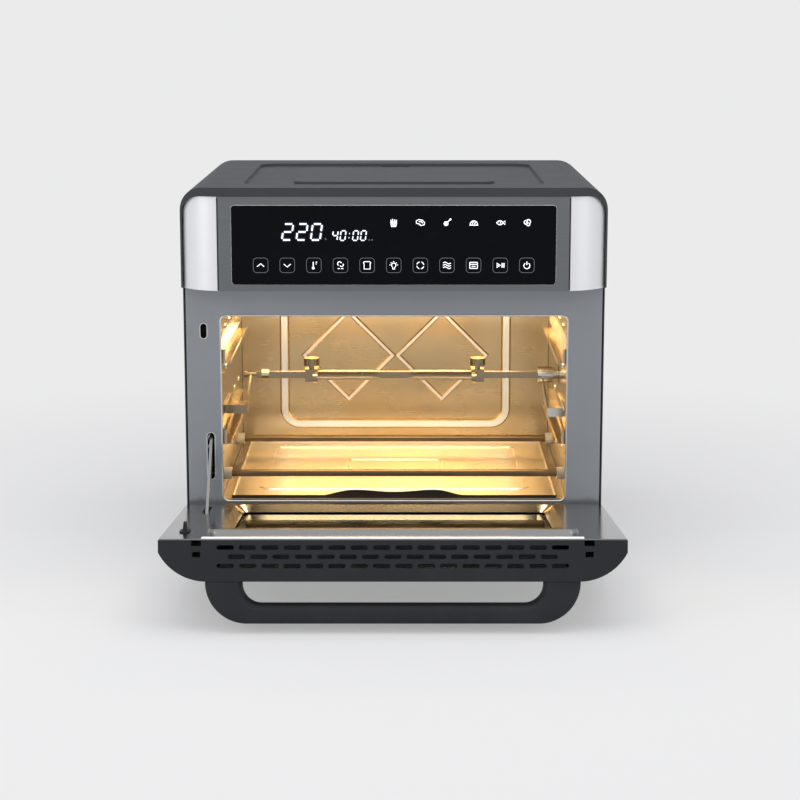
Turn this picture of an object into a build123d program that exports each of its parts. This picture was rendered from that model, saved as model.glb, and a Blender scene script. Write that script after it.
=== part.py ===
"""Countertop mini oven with a drop-down door, a touch panel, two lower heating rods and a rotisserie spit.

Millimetres, +Z up, X to the right as seen from the front, the front towards -Y. Depths are measured from the
front flange, the plane that the closed door lies against, and the finished pieces are then moved along Y so
that the origin is on the table, in the middle of the footprint with the door open.
"""

from build123d import *
import os
from math import acos, atan2, cos, degrees, pi, radians, sin, sqrt

# Cabinet
cabinet_width = 370.0
cabinet_height = 337.0
cabinet_depth = 275.0
foot_height = 14.0
foot_radius = 13.0
foot_well_radius = 5.0
foot_well_depth = 9.0
foot_screw_radius = 2.2
shell_sheet = 1.0
shell_corner_radius = 22.0
frame_sheet = 1.2
collar_depth = 4.0
liner_sheet = 0.8
fit_gap = 0.3

# Front outline in plan, shared by the control panel and the door
panel_reach = 35.5
wrap_width = 38.0
wrap_depth = 23.0

# Hood lip that frames the control panel
lip_top = 7.5
lip_side = 2.0
lip_depth = 4.0
lip_reach = 1.0

# Control panel
panel_height = 88.7
fascia_sheet = 1.2
fascia_corner_radius = 17.0
housing_wall = 2.0
glass_side_margin = 46.0
glass_end_margin = 10.15
glass_proud = 0.5
key_count = 11
key_margin = 25.0
key_row_rise = 21.5
pad_radius = 4.0
display_rise = 50.2
icon_row_rise = 58.1

# Oven cavity
cheek_width = 32.5
brow_height = 27.3
opening_bottom = 54.0
opening_radius = 5.0
mouth_step = 2.0
floor_step = 1.0
ceiling_step = 23.0
rear_bay = 30.0
channel_margin = 43.0
channel_width = 9.6
channel_height = 3.0
channel_rise = 18.0
channel_drop = 14.0
channel_radius = 20.0
diamond_offset = 47.0
diamond_half = 48.0
diamond_rise = 88.0
diamond_rib = 5.0
diamond_height = 2.2
rail_rise = 49.0
rail_pitch = 73.0
rail_gap = 12.0
rail_width = 10.0
rail_lip = 3.0
rail_start = 9.0
rail_end_gap = 43.0

# Heating rods and rotisserie
heater_radius = 3.25
heater_rise = 16.5
heater_front_y = 34.0
heater_rear_gap = 65.0
bush_radius = 5.5
bush_length = 7.0
spit_rise = 93.0
spit_y = 112.0
spit_side = 6.0
spit_end_gap = 15.5
spit_neck_radius = 2.0
socket_stand = 20.0
socket_radius = 7.5
socket_length = 14.0
fork_x = 78.0
tine_radius = 1.9
tine_length = 52.0
tine_point = 7.0
tine_spacing = 36.0
ramp_left = 63.0
ramp_right = 79.0
ramp_drop = 16.3
ramp_plate = 8.0

# Top fan
fan_radius = 74.0
fan_height = 14.0
fan_blades = 8
fan_pocket_depth = 20.0
fan_y = 122.0
fan_shaft_radius = 3.0
motor_radius = 31.0
motor_height = 34.0

# Door, measured along its own length from the hinge axis and outwards from it
door_gap = 1.5
door_thickness = 34.0
hinge_z = 45.0
hinge_inset = 8.0
door_open_angle = 83.4
door_wall = 2.4
door_panel_sheet = 1.0
door_top_gap = 2.0
plateau_gap = 2.5
plateau_start = 12.0
plateau_height = 3.0
plateau_crest = 11.0
window_slope = 8.0
glass_sink = 2.5
pane_thickness = 3.0
slot_margin = 44.0
slot_pitch = 17.6
slot_length = 13.7
slot_height = 3.7
slot_row_pitch = 7.3
slot_row_w = 6.2
cap_thickness = 3.0
handle_inset = 36.5
handle_reach = 34.0
handle_bar = 14.6
handle_depth = 21.0
handle_outer_radius = 33.0
handle_inner_radius = 15.0
handle_arm = 29.0
handle_edge = 3.0
hinge_side_inset = 11.0
tongue_sheet = 3.0
tongue_height = 7.0
hinge_plate_inset = 18.25
hinge_plate_sheet = 2.5
link_inset = 22.3
link_pin_v = 38.0
link_length = 96.0
link_width = 8.0
link_sheet = 2.5
link_open_angle = 48.0
pin_radius = 2.0
pin_clearance = 0.05
spring_anchor_y = 151.0
spring_anchor_z = 130.0
spring_radius = 4.5
spring_wire = 0.8
spring_turns = 12
spring_steps = 8
link_slot_bottom = 74.0
link_slot_top = 116.0
switch_slot_inset = 17.3
switch_slot_drop = 13.3
switch_tab_reach = 8.0

# Crumb tray
tray_side_gap = 9.5
tray_front = 3.2
tray_rear_gap = 9.8
tray_sheet = 0.8
tray_rim = 2.0
tray_tab_width = 145.0
tray_tab_height = 7.0

# Sizes that follow
half_width = cabinet_width / 2
front_y = -panel_reach
panel_bottom = cabinet_height - panel_height
glass_width = cabinet_width - 2 * glass_side_margin
glass_height = panel_height - 2 * glass_end_margin
key_pitch = (glass_width - 2 * key_margin) / (key_count - 1)
key_row_z = panel_bottom + key_row_rise
display_z = panel_bottom + display_rise
icon_row_z = panel_bottom + icon_row_rise
opening_width = cabinet_width - 2 * cheek_width
opening_top = panel_bottom - brow_height
cavity_width = opening_width + 2 * mouth_step
cavity_depth = cabinet_depth - rear_bay
cavity_floor_z = opening_bottom + floor_step
cavity_ceiling_z = opening_top + ceiling_step
channel_spacing = cavity_width - 2 * channel_margin
channel_bottom_z = cavity_floor_z + channel_rise
diamond_z = cavity_floor_z + diamond_rise
rail_levels = (cavity_floor_z + rail_rise, cavity_floor_z + rail_rise + rail_pitch)
rail_length = cavity_depth - rail_start - rail_end_gap
heater_z = cavity_floor_z + heater_rise
heater_rear_y = cavity_depth - heater_rear_gap
spit_z = cavity_floor_z + spit_rise
spit_left_x = spit_end_gap - cavity_width / 2
socket_x = cavity_width / 2 - socket_stand
plateau_width = opening_width - 2 * plateau_gap
slot_count = int((cabinet_width - 2 * slot_margin) / slot_pitch)
handle_width = cabinet_width - 2 * handle_inset
hinge_x = half_width - hinge_side_inset
hinge_plate_x = half_width - hinge_plate_inset
link_x = link_inset - half_width
switch_slot_x = switch_slot_inset - half_width
switch_slot_z = opening_top - switch_slot_drop
tray_width = cavity_width - 2 * tray_side_gap
tray_depth = cavity_depth - tray_front - tray_rear_gap
hinge_y = -(door_gap + hinge_inset)
door_outer = door_thickness - hinge_inset
door_length = panel_bottom - door_top_gap - hinge_z
cavity_half = cavity_width / 2
base_z = foot_height
panel_top = cabinet_height - lip_top - fit_gap / 2
panel_mid_z = (panel_bottom + panel_top) / 2 - 1.0
opening_mid_z = (opening_bottom + opening_top) / 2
tray_z = cavity_floor_z + 2 * fit_gap
plateau_end = opening_top - hinge_z - (plateau_start - (opening_bottom - hinge_z))

open_rad = radians(door_open_angle)
v_axis = Vector(0, -sin(open_rad), cos(open_rad))
w_axis = Vector(0, -cos(open_rad), -sin(open_rad))
hinge_point = Vector(0, hinge_y, hinge_z)

pieces = []


def keep(piece, label):
    """Labels a finished piece and puts it on the list that is written out."""
    piece.label = label
    pieces.append(piece)


def level(z):
    """Horizontal sketch plane at height z."""
    return Plane.XY.offset(z)


def facing_front(y):
    """Upright sketch plane at depth y, whose normal points to the front."""
    return Plane.XZ.offset(-y)


def facing_right(x):
    """Upright sketch plane across the cabinet at x, whose normal points right."""
    return Plane.YZ.offset(x)


def door_face(w):
    """Plane parallel to the door's faces: x across, y from hinge to handle, normal outwards."""
    return Plane(origin=hinge_point + w_axis * w, x_dir=(1, 0, 0), z_dir=w_axis)


def door_side(x):
    """Plane across the hinge axis at x: x from hinge to handle, y outwards, normal to the right."""
    return Plane(origin=hinge_point + Vector(x, 0, 0), x_dir=v_axis, z_dir=(1, 0, 0))


def handle_plane(v):
    """Plane across the door at v, seen from the handle's end: x across, y outwards, normal to the hinge."""
    return Plane(origin=hinge_point + v_axis * v, x_dir=(1, 0, 0), z_dir=-v_axis)


def door_section(v):
    """Plane across the door at v from the hinge axis: x across, y towards the inner face."""
    return Plane(origin=hinge_point + v_axis * v, x_dir=(1, 0, 0), z_dir=v_axis)


def arch(half, bottom, top, radius):
    """Upright rectangle with its two top corners rounded."""
    with BuildSketch() as outline:
        with Locations((0, (bottom + top) / 2)):
            Rectangle(2 * half, top - bottom)
        fillet(outline.vertices().group_by(Axis.Y)[-1], radius)
    return outline.sketch


def front_plan(width, reach, back, inset=0.0):
    """Plan outline with a flat front whose ends wrap round towards the sides."""
    wrap_radius = (wrap_width**2 + wrap_depth**2) / (2 * wrap_depth)
    centre = (width / 2 - wrap_width, wrap_radius - reach)
    radius = wrap_radius - inset
    side = width / 2 - inset
    turn = 90 - degrees(acos((side - centre[0]) / radius))
    with BuildSketch() as plan:
        with BuildLine():
            Line((0, inset - reach), (centre[0], inset - reach))
            wrap = CenterArc(centre, radius, -90, turn)
            Polyline(wrap @ 1, (side, back), (0, back))
            mirror(about=Plane.YZ)
        make_face()
    return plan.sketch


def wrapped_block(width, back, bottom, top, radius, inset):
    """Solid with the panel's plan outline and an arched front outline, inset from the panel's front."""
    with BuildPart() as block:
        with BuildSketch(level(bottom)):
            add(front_plan(width, panel_reach, back, inset))
        extrude(amount=top - bottom)
        with BuildSketch(facing_front(back)):
            add(arch(width / 2 - inset, bottom, top, radius))
        extrude(amount=panel_reach + back, mode=Mode.INTERSECT)
    return block.part


def mirrored(piece):
    """The same piece on the other side of the oven."""
    return mirror(piece, about=Plane.YZ, mode=Mode.PRIVATE)


# Hood lip, a rolled front edge that follows the panel's outline in plan
hood_reach = panel_reach + lip_reach
with BuildPart() as hood_lip:
    with BuildSketch(facing_front(-hood_reach)):
        add(arch(half_width, panel_bottom, cabinet_height, shell_corner_radius))
        lip_radius = shell_corner_radius - (lip_top + lip_side) / 2
        add(
            arch(half_width - lip_side, panel_bottom - 1, cabinet_height - lip_top, lip_radius),
            mode=Mode.SUBTRACT,
        )
    extrude(amount=-hood_reach)
    with BuildSketch(level(panel_bottom)):
        add(front_plan(cabinet_width, hood_reach, 0))
        add(front_plan(cabinet_width, hood_reach - lip_depth, 1), mode=Mode.SUBTRACT)
    extrude(amount=cabinet_height - panel_bottom, mode=Mode.INTERSECT)

# Outer shell: one wrapped sheet, open below, with a pressed top and slotted sides
press_side_margin = 53.5
top_press_front = -4.0
press_rear_margin = 43.0
press_radius = 18.0
top_press_sink = 2.6
pad_side_margin = 42.0
pad_front = 28.0
pad_rear_margin = 46.0
pad_corner = 12.0
pad_rise = 2.2
side_slot_length = 26.0
side_slot_height = 3.0
side_slot_gap = 8.0
side_slot_pitch = 9.0
side_slot_rear = 62.0
upper_slot_drop = 92.0
lower_slot_rise = 56.0
top_press_width = cabinet_width - 2 * press_side_margin
top_press_depth = cabinet_depth - press_rear_margin - top_press_front
pad_width = top_press_width - 2 * pad_side_margin
pad_depth = top_press_front + top_press_depth - pad_rear_margin - pad_front
with BuildPart() as outer_shell:
    with BuildSketch(facing_front(-hood_reach)):
        add(arch(half_width, base_z, cabinet_height, shell_corner_radius))
        inner_radius = shell_corner_radius - shell_sheet
        add(
            arch(half_width - shell_sheet, base_z - 1, cabinet_height - shell_sheet, inner_radius),
            mode=Mode.SUBTRACT,
        )
    extrude(amount=-(hood_reach + cabinet_depth))
    with BuildSketch(level(base_z)):
        add(front_plan(cabinet_width, hood_reach, cabinet_depth))
    extrude(amount=cabinet_height, mode=Mode.INTERSECT)
    with BuildSketch(level(base_z)):
        with Locations((0, -hood_reach / 2)):
            Rectangle(cabinet_width + 2, hood_reach)
    extrude(amount=panel_bottom - base_z, mode=Mode.SUBTRACT)
    add(hood_lip.part)
    press_mid_y = top_press_front + top_press_depth / 2
    press_floor = cabinet_height - shell_sheet - top_press_sink
    with BuildSketch(level(press_floor)):
        with Locations((0, press_mid_y)):
            RectangleRounded(
                top_press_width + 2 * shell_sheet,
                top_press_depth + 2 * shell_sheet,
                press_radius + shell_sheet,
            )
    extrude(amount=top_press_sink + shell_sheet / 2)
    with BuildSketch(level(cabinet_height)):
        with Locations((0, press_mid_y)):
            RectangleRounded(top_press_width, top_press_depth, press_radius)
    extrude(amount=-top_press_sink, taper=20, mode=Mode.SUBTRACT)
    with BuildSketch(level(cabinet_height - top_press_sink)):
        with Locations((0, pad_front + pad_depth / 2)):
            RectangleRounded(pad_width, pad_depth, pad_corner)
    extrude(amount=pad_rise, taper=20)
    with BuildSketch(facing_right(-half_width - 1)):
        with Locations((cabinet_depth - side_slot_rear, cabinet_height - upper_slot_drop)):
            with GridLocations(side_slot_length + side_slot_gap, side_slot_pitch, 2, 5):
                Rectangle(side_slot_length, side_slot_height)
        with Locations((cabinet_depth - side_slot_rear, base_z + lower_slot_rise)):
            with GridLocations(side_slot_length + side_slot_gap, side_slot_pitch, 2, 3):
                Rectangle(side_slot_length, side_slot_height)
    extrude(amount=cabinet_width + 2, mode=Mode.SUBTRACT)
keep(outer_shell.part, "outer_shell")

# Back cover: dished plate with a folded rim, rows of outlet slots and a hole for the cable gland
cover_sheet = 1.2
cover_rim = 12.0
cover_half = half_width - shell_sheet - fit_gap
cover_top = cabinet_height - shell_sheet - fit_gap
cover_radius = shell_corner_radius - shell_sheet - fit_gap
back_slot_length = 30.0
back_slot_height = 3.4
back_slot_pitch = 9.0
upper_outlet_drop = 45.0
lower_outlet_rise = 48.0
gland_x = half_width - 65.0
gland_z = base_z + 26.0
gland_radius = 7.0
with BuildPart() as back_cover:
    with BuildSketch(facing_front(cabinet_depth)):
        add(arch(cover_half, base_z + cover_sheet + fit_gap, cover_top, cover_radius))
    extrude(amount=cover_rim)
    with BuildSketch(facing_front(cabinet_depth - cover_sheet)):
        add(
            arch(
                cover_half - cover_sheet,
                base_z + 2 * cover_sheet + fit_gap,
                cover_top - cover_sheet,
                cover_radius - cover_sheet,
            )
        )
    extrude(amount=cover_rim, mode=Mode.SUBTRACT)
    with BuildSketch(facing_front(cabinet_depth + 1)):
        with Locations((0, cabinet_height - upper_outlet_drop)):
            with GridLocations(back_slot_length + 8, back_slot_pitch, 5, 5):
                Rectangle(back_slot_length, back_slot_height)
        with Locations((0, base_z + lower_outlet_rise)):
            with GridLocations(back_slot_length + 8, back_slot_pitch, 5, 3):
                Rectangle(back_slot_length, back_slot_height)
        with Locations((gland_x, gland_z)):
            RegularPolygon(gland_radius + fit_gap, 16)
    extrude(amount=cover_sheet + 2, mode=Mode.SUBTRACT)
keep(back_cover.part, "back_cover")

# Cable gland: flanged plastic bush in the back cover, for the supply lead that is left out
with BuildPart() as cable_gland:
    with BuildSketch(facing_front(cabinet_depth + 8)):
        with Locations((gland_x, gland_z)):
            RegularPolygon(gland_radius - 1, 16)
    extrude(amount=8 + fit_gap)
    with BuildSketch(facing_front(cabinet_depth + 3)):
        with Locations((gland_x, gland_z)):
            RegularPolygon(gland_radius + 3, 16)
    extrude(amount=3 - fit_gap)
    with BuildSketch(facing_front(cabinet_depth)):
        with Locations((gland_x, gland_z)):
            RegularPolygon(gland_radius, 16)
    extrude(amount=10, both=True)
    with BuildSketch(facing_front(cabinet_depth + 8)):
        with Locations((gland_x, gland_z)):
            RegularPolygon(4, 12)
    extrude(amount=-20, mode=Mode.SUBTRACT)
keep(cable_gland.part, "cable_gland")

# Base pan: folded plate that carries the feet, with inlet slots under the cavity
pan_half = half_width - shell_sheet - fit_gap
pan_wall = 8.0
foot_inset_x = 34.0
foot_inset_front = 30.0
foot_inset_rear = 28.0
foot_places = [
    (side * (half_width - foot_inset_x), y)
    for y in (foot_inset_front, cabinet_depth - foot_inset_rear)
    for side in (-1, 1)
]
with BuildPart() as base_pan:
    with BuildSketch(level(base_z)):
        with Locations((0, (cabinet_depth - cover_rim) / 2)):
            Rectangle(2 * pan_half, cabinet_depth - cover_rim - 2 * frame_sheet - fit_gap)
    extrude(amount=pan_wall)
    with BuildSketch(level(base_z + frame_sheet)):
        with Locations((0, (cabinet_depth - cover_rim) / 2)):
            Rectangle(
                2 * (pan_half - frame_sheet), cabinet_depth - cover_rim - 4 * frame_sheet - fit_gap
            )
    extrude(amount=pan_wall, mode=Mode.SUBTRACT)
    with BuildSketch(level(base_z - 1)):
        with Locations((0, cabinet_depth / 2)):
            with GridLocations(46, 22, 5, 4):
                Rectangle(34, 5)
        with Locations(*foot_places):
            RegularPolygon(foot_screw_radius, 8)
    extrude(amount=frame_sheet + 2, mode=Mode.SUBTRACT)
keep(base_pan.part, "base_pan")

# Feet: moulded rubber, tapering down, each with a screw well in its sole
foot_names = ("foot_front_left", "foot_front_right", "foot_rear_left", "foot_rear_right")
for foot_name, place in zip(foot_names, foot_places):
    with BuildPart() as foot:
        with BuildSketch(Plane.XY.offset(base_z)):
            with Locations(place):
                RegularPolygon(foot_radius, 20)
        extrude(amount=-base_z, taper=9)
        with BuildSketch(level(0)):
            with Locations(place):
                RegularPolygon(foot_well_radius, 12)
        extrude(amount=foot_well_depth, mode=Mode.SUBTRACT)
        with BuildSketch(level(0)):
            with Locations(place):
                RegularPolygon(foot_screw_radius, 8)
        extrude(amount=base_z, mode=Mode.SUBTRACT)
    keep(foot.part, foot_name)

# Front flange: pressed plate round the cavity's mouth, with the link's slot and the switch's slot
frame_half = half_width - lip_side
with BuildPart() as front_frame:
    with BuildSketch(facing_front(frame_sheet)):
        add(arch(frame_half, base_z + fit_gap, panel_top, fascia_corner_radius))
        with Locations((0, opening_mid_z)):
            RectangleRounded(
                opening_width, opening_top - opening_bottom, opening_radius, mode=Mode.SUBTRACT
            )
        with Locations((0, panel_mid_z)):
            Rectangle(glass_width - 20, glass_height - 12, mode=Mode.SUBTRACT)
        with Locations((link_x, (link_slot_bottom + link_slot_top) / 2)):
            SlotOverall(link_slot_top - link_slot_bottom, 6, rotation=90, mode=Mode.SUBTRACT)
        with Locations((switch_slot_x, switch_slot_z)):
            SlotOverall(13, 5.2, rotation=90, mode=Mode.SUBTRACT)
        with Locations((-hinge_x, hinge_z), (hinge_x, hinge_z)):
            Rectangle(tongue_sheet + fit_gap, tongue_height + fit_gap, mode=Mode.SUBTRACT)
    extrude(amount=frame_sheet)
    with BuildSketch(facing_front(frame_sheet)):
        with Locations((0, opening_mid_z)):
            RectangleRounded(
                opening_width + 2 * liner_sheet,
                opening_top - opening_bottom + 2 * liner_sheet,
                opening_radius + liner_sheet,
            )
            RectangleRounded(
                opening_width, opening_top - opening_bottom, opening_radius, mode=Mode.SUBTRACT
            )
    extrude(amount=-collar_depth)
keep(front_frame.part, "front_frame")

# Control fascia: brushed sheet that wraps round at both ends, with a window for the touch glass
fascia_width = 2 * (half_width - lip_side - fit_gap)
with BuildPart() as control_fascia:
    with BuildSketch(level(panel_bottom)):
        add(front_plan(fascia_width, panel_reach, -fit_gap))
        add(front_plan(fascia_width, panel_reach, 1, fascia_sheet), mode=Mode.SUBTRACT)
    extrude(amount=panel_top - panel_bottom)
    with BuildSketch(facing_front(0)):
        add(arch(fascia_width / 2, panel_bottom, panel_top, fascia_corner_radius))
    extrude(amount=panel_reach + 1, mode=Mode.INTERSECT)
    with BuildSketch(facing_front(front_y + 5)):
        with Locations((0, panel_mid_z)):
            RectangleRounded(glass_width + 2 * fit_gap, glass_height + 2 * fit_gap, 3.3)
    extrude(amount=6, mode=Mode.SUBTRACT)
keep(control_fascia.part, "control_fascia")

# Control housing: moulded tray behind the fascia, open to the rear, which closes the panel's underside
housing_inset = fascia_sheet + fit_gap
housing_top = panel_top - housing_wall
housing_radius = fascia_corner_radius - housing_wall
with BuildPart() as control_housing:
    add(wrapped_block(fascia_width, -fit_gap, panel_bottom, housing_top, housing_radius, housing_inset))
    add(
        wrapped_block(
            fascia_width,
            1.0,
            panel_bottom + housing_wall,
            housing_top - housing_wall,
            housing_radius - housing_wall,
            housing_inset + housing_wall,
        ),
        mode=Mode.SUBTRACT,
    )
    with BuildSketch(facing_front(0)):
        with Locations((0, panel_mid_z)):
            Rectangle(glass_width - 12, glass_height - 10)
    extrude(amount=panel_reach, mode=Mode.SUBTRACT)
keep(control_housing.part, "control_housing")

# Touch glass, stuck on the housing and standing just proud of the fascia
glass_back_y = front_y + housing_inset
with BuildPart() as touch_glass:
    with BuildSketch(facing_front(glass_back_y)):
        with Locations((0, panel_mid_z)):
            RectangleRounded(glass_width, glass_height, 3)
    extrude(amount=glass_proud + housing_inset)
    chamfer(touch_glass.faces().sort_by(Axis.Y)[0].edges(), 0.4)
keep(touch_glass.part, "touch_glass")

# Control board with the eleven sensing pads that press against the glass, and its display module
board_y = glass_back_y + housing_wall + fit_gap
board_thickness = 1.6
key_places = [((n - (key_count - 1) / 2) * key_pitch, key_row_z) for n in range(key_count)]
with BuildPart() as control_board:
    with BuildSketch(facing_front(board_y + board_thickness)):
        with Locations((0, panel_mid_z)):
            Rectangle(glass_width - 4, glass_height - 4)
    extrude(amount=board_thickness)
    with BuildSketch(facing_front(board_y)):
        with Locations(*key_places):
            RegularPolygon(pad_radius, 8)
    extrude(amount=housing_wall)
keep(control_board.part, "control_board")

digits_x = -60.0
icon_count = 6
icons_x = (icon_count - 1) / 2 * key_pitch + 1.5
with BuildPart() as display_module:
    with BuildSketch(facing_front(board_y - fit_gap / 2)):
        with Locations((digits_x, display_z)):
            Rectangle(90, 22)
        with Locations((icons_x, icon_row_z)):
            Rectangle((icon_count - 1) * key_pitch + 19, 15)
    extrude(amount=housing_wall - fit_gap / 2)
keep(display_module.part, "display_module")


def side_wall():
    """Left wall of the cavity: pressed sheet with two channels that carry a rack."""
    inner = -cavity_half
    wall_top = cavity_ceiling_z - fit_gap
    with BuildPart() as wall:
        with BuildSketch(facing_right(inner)):
            with Locations(((cavity_depth + frame_sheet + fit_gap) / 2, (opening_bottom + wall_top) / 2)):
                Rectangle(cavity_depth - frame_sheet - fit_gap, wall_top - opening_bottom)
            with Locations((heater_front_y, heater_z), (heater_rear_y, heater_z)):
                RegularPolygon(bush_radius - 1, 16, mode=Mode.SUBTRACT)
        extrude(amount=-liner_sheet)
        for z in rail_levels:
            with BuildSketch(facing_front(rail_start + rail_length)):
                with BuildLine():
                    Polyline(
                        (inner, z),
                        (inner + rail_width, z),
                        (inner + rail_width, z + rail_lip),
                        (inner + rail_width - liner_sheet, z + rail_lip),
                        (inner + rail_width - liner_sheet, z + liner_sheet),
                        (inner, z + liner_sheet),
                        close=True,
                    )
                make_face()
                with Locations((inner + rail_width / 4, z + rail_gap + liner_sheet / 2)):
                    Rectangle(rail_width / 2, liner_sheet)
            extrude(amount=rail_length)
            with BuildSketch(facing_front(rail_start)):
                with Locations((inner + rail_width / 4, z + rail_gap / 2 + liner_sheet / 2)):
                    Rectangle(rail_width / 2, rail_gap + liner_sheet)
            extrude(amount=-liner_sheet)
    return wall.part


left_wall = side_wall()
keep(left_wall, "cavity_left_wall")

# The right wall is the left one mirrored, with a hole for the rotisserie drive
drive_hole_radius = 9.0
with BuildPart() as right_wall:
    add(mirrored(left_wall))
    with BuildSketch(facing_right(cavity_half - 1)):
        with Locations((spit_y, spit_z)):
            RegularPolygon(drive_hole_radius, 16, rotation=11.25)
    extrude(amount=liner_sheet + 2, mode=Mode.SUBTRACT)
keep(right_wall.part, "cavity_right_wall")

# Cavity floor, ceiling with the fan's round pocket, and back wall with its pressed channel and diamonds
floor_half = cavity_half - fit_gap
with BuildPart() as cavity_floor:
    with BuildSketch(level(cavity_floor_z)):
        floor_front = frame_sheet + collar_depth + fit_gap
        with Locations((0, (cavity_depth - fit_gap + floor_front) / 2)):
            Rectangle(2 * floor_half, cavity_depth - fit_gap - floor_front)
    extrude(amount=-liner_sheet)
    with BuildSketch(level(cavity_floor_z - liner_sheet)):
        with Locations((0, cavity_depth / 2)):
            with GridLocations(100, 0, 3, 1):
                Rectangle(8, cavity_depth - 50)
    extrude(amount=-3)
keep(cavity_floor.part, "cavity_floor")

pocket_radius = fan_radius + 10
upper_side_gap = 54.5
upper_width = cavity_width - 2 * upper_side_gap
upper_depth = 150.0
upper_leg_x = 20.0
upper_z = cavity_ceiling_z - 9.0
upper_rear_y = fan_y + upper_depth / 2
upper_legs = [(-upper_leg_x, upper_rear_y), (upper_leg_x, upper_rear_y)]
with BuildPart() as cavity_ceiling:
    with BuildSketch(level(cavity_ceiling_z)):
        with Locations((0, (cavity_depth + frame_sheet) / 2)):
            Rectangle(2 * (cavity_half + liner_sheet), cavity_depth - frame_sheet - fit_gap)
    extrude(amount=liner_sheet)
    with BuildSketch(level(cavity_ceiling_z)):
        with Locations((0, fan_y)):
            RegularPolygon(pocket_radius + liner_sheet, 32)
    extrude(amount=fan_pocket_depth + liner_sheet)
    with BuildSketch(level(cavity_ceiling_z - 1)):
        with Locations((0, fan_y)):
            RegularPolygon(pocket_radius, 32)
    extrude(amount=fan_pocket_depth + 1, mode=Mode.SUBTRACT)
    with BuildSketch(level(cavity_ceiling_z - 1)):
        with Locations((0, fan_y)):
            RegularPolygon(fan_shaft_radius + 2, 12)
        with Locations(*upper_legs):
            RegularPolygon(heater_radius + fit_gap, 8)
    extrude(amount=fan_pocket_depth + 3, mode=Mode.SUBTRACT)
keep(cavity_ceiling.part, "cavity_ceiling")

back_top = cavity_ceiling_z - fit_gap
channel_outer = channel_spacing / 2 + channel_width / 2
channel_inner = channel_spacing / 2 - channel_width / 2
with BuildPart() as cavity_back_wall:
    with BuildSketch(facing_front(cavity_depth + liner_sheet)):
        with Locations((0, (opening_bottom + back_top) / 2)):
            Rectangle(2 * (cavity_half - fit_gap), back_top - opening_bottom)
    extrude(amount=liner_sheet)
    with BuildSketch(facing_front(cavity_depth)):
        channel_low = channel_bottom_z - channel_width / 2
        channel_high = cavity_ceiling_z - channel_drop
        with Locations((0, (channel_low + channel_high) / 2)):
            RectangleRounded(2 * channel_outer, channel_high - channel_low, channel_radius)
            RectangleRounded(
                2 * channel_inner,
                channel_high - channel_low - 2 * channel_width,
                channel_radius - channel_width,
                mode=Mode.SUBTRACT,
            )
    extrude(amount=channel_height, taper=30)
    for side in (-1, 1):
        with BuildSketch(facing_front(cavity_depth)):
            with Locations((side * diamond_offset, diamond_z)):
                RegularPolygon(diamond_half, 4)
                RegularPolygon(diamond_half - diamond_rib * sqrt(2), 4, mode=Mode.SUBTRACT)
        extrude(amount=diamond_height, taper=30)
keep(cavity_back_wall.part, "cavity_back_wall")

# Lower heating rods, straight and sheathed, each through a ceramic bush in either wall
rod_half = cavity_half + 12.0
for rod_name, rod_y in (("lower_heater_front", heater_front_y), ("lower_heater_rear", heater_rear_y)):
    with BuildPart() as heater:
        with BuildSketch(facing_right(-rod_half)):
            with Locations((rod_y, heater_z)):
                RegularPolygon(heater_radius, 16)
        extrude(amount=2 * rod_half)
        with BuildSketch(facing_right(-rod_half - 9)):
            with Locations((rod_y, heater_z)):
                Rectangle(4, 1.2)
        extrude(amount=2 * rod_half + 18)
    keep(heater.part, rod_name)

with BuildPart() as heater_bushes:
    for y in (heater_front_y, heater_rear_y):
        for side in (-1, 1):
            inner_face = side * (cavity_half - bush_length)
            with BuildSketch(facing_right(inner_face)):
                with Locations((y, heater_z)):
                    RegularPolygon(bush_radius, 16)
                    RegularPolygon(heater_radius + pin_clearance, 16, mode=Mode.SUBTRACT)
            extrude(amount=side * (bush_length - fit_gap / 2))
            with BuildSketch(facing_right(side * (cavity_half - fit_gap / 2))):
                with Locations((y, heater_z)):
                    RegularPolygon(bush_radius - 1.2, 16)
                    RegularPolygon(heater_radius + pin_clearance, 16, mode=Mode.SUBTRACT)
            extrude(amount=side * 5)
keep(heater_bushes.part, "heater_bushes")

# Upper heater: one rectangular loop under the fan, whose two legs pass up through the ceiling
with BuildPart() as upper_heater:
    with BuildLine():
        FilletPolyline(
            (upper_leg_x, upper_rear_y, upper_z),
            (upper_width / 2, upper_rear_y, upper_z),
            (upper_width / 2, upper_rear_y - upper_depth, upper_z),
            (-upper_width / 2, upper_rear_y - upper_depth, upper_z),
            (-upper_width / 2, upper_rear_y, upper_z),
            (-upper_leg_x, upper_rear_y, upper_z),
            radius=18,
        )
    with BuildSketch(Plane(origin=(upper_leg_x, upper_rear_y, upper_z), z_dir=(1, 0, 0))):
        RegularPolygon(heater_radius, 8)
    sweep()
    with BuildSketch(level(upper_z - heater_radius)):
        with Locations(*upper_legs):
            RegularPolygon(heater_radius, 8)
    extrude(amount=fan_pocket_depth + 8)
keep(upper_heater.part, "upper_heater")

# Fan, with a hot impeller in the pocket and a cooling impeller above the motor, on one shaft
fan_low = cavity_ceiling_z + 2.0
motor_low = cavity_ceiling_z + fan_pocket_depth + liner_sheet + fit_gap
motor_top = motor_low + motor_height
cooling_low = motor_top + 6.0
cooling_radius = 42.0
cooling_height = 9.0


def impeller(radius, height, low, hub_radius):
    """Flat disc with upright radial blades, bored for the fan's shaft."""
    with BuildPart() as wheel:
        with BuildSketch(level(low + height - 1.2)):
            with Locations((0, fan_y)):
                RegularPolygon(radius, 24)
        extrude(amount=1.2)
        with BuildSketch(level(low)):
            with Locations((0, fan_y)):
                with PolarLocations(0, fan_blades):
                    with Locations((radius * 0.62, 0)):
                        Rectangle(radius * 0.62, 1.2, rotation=18)
                RegularPolygon(hub_radius, 12)
        extrude(amount=height - 1.2)
        with Locations((0, fan_y, low + height)):
            Hole(fan_shaft_radius, depth=height)
    return wheel.part


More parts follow.
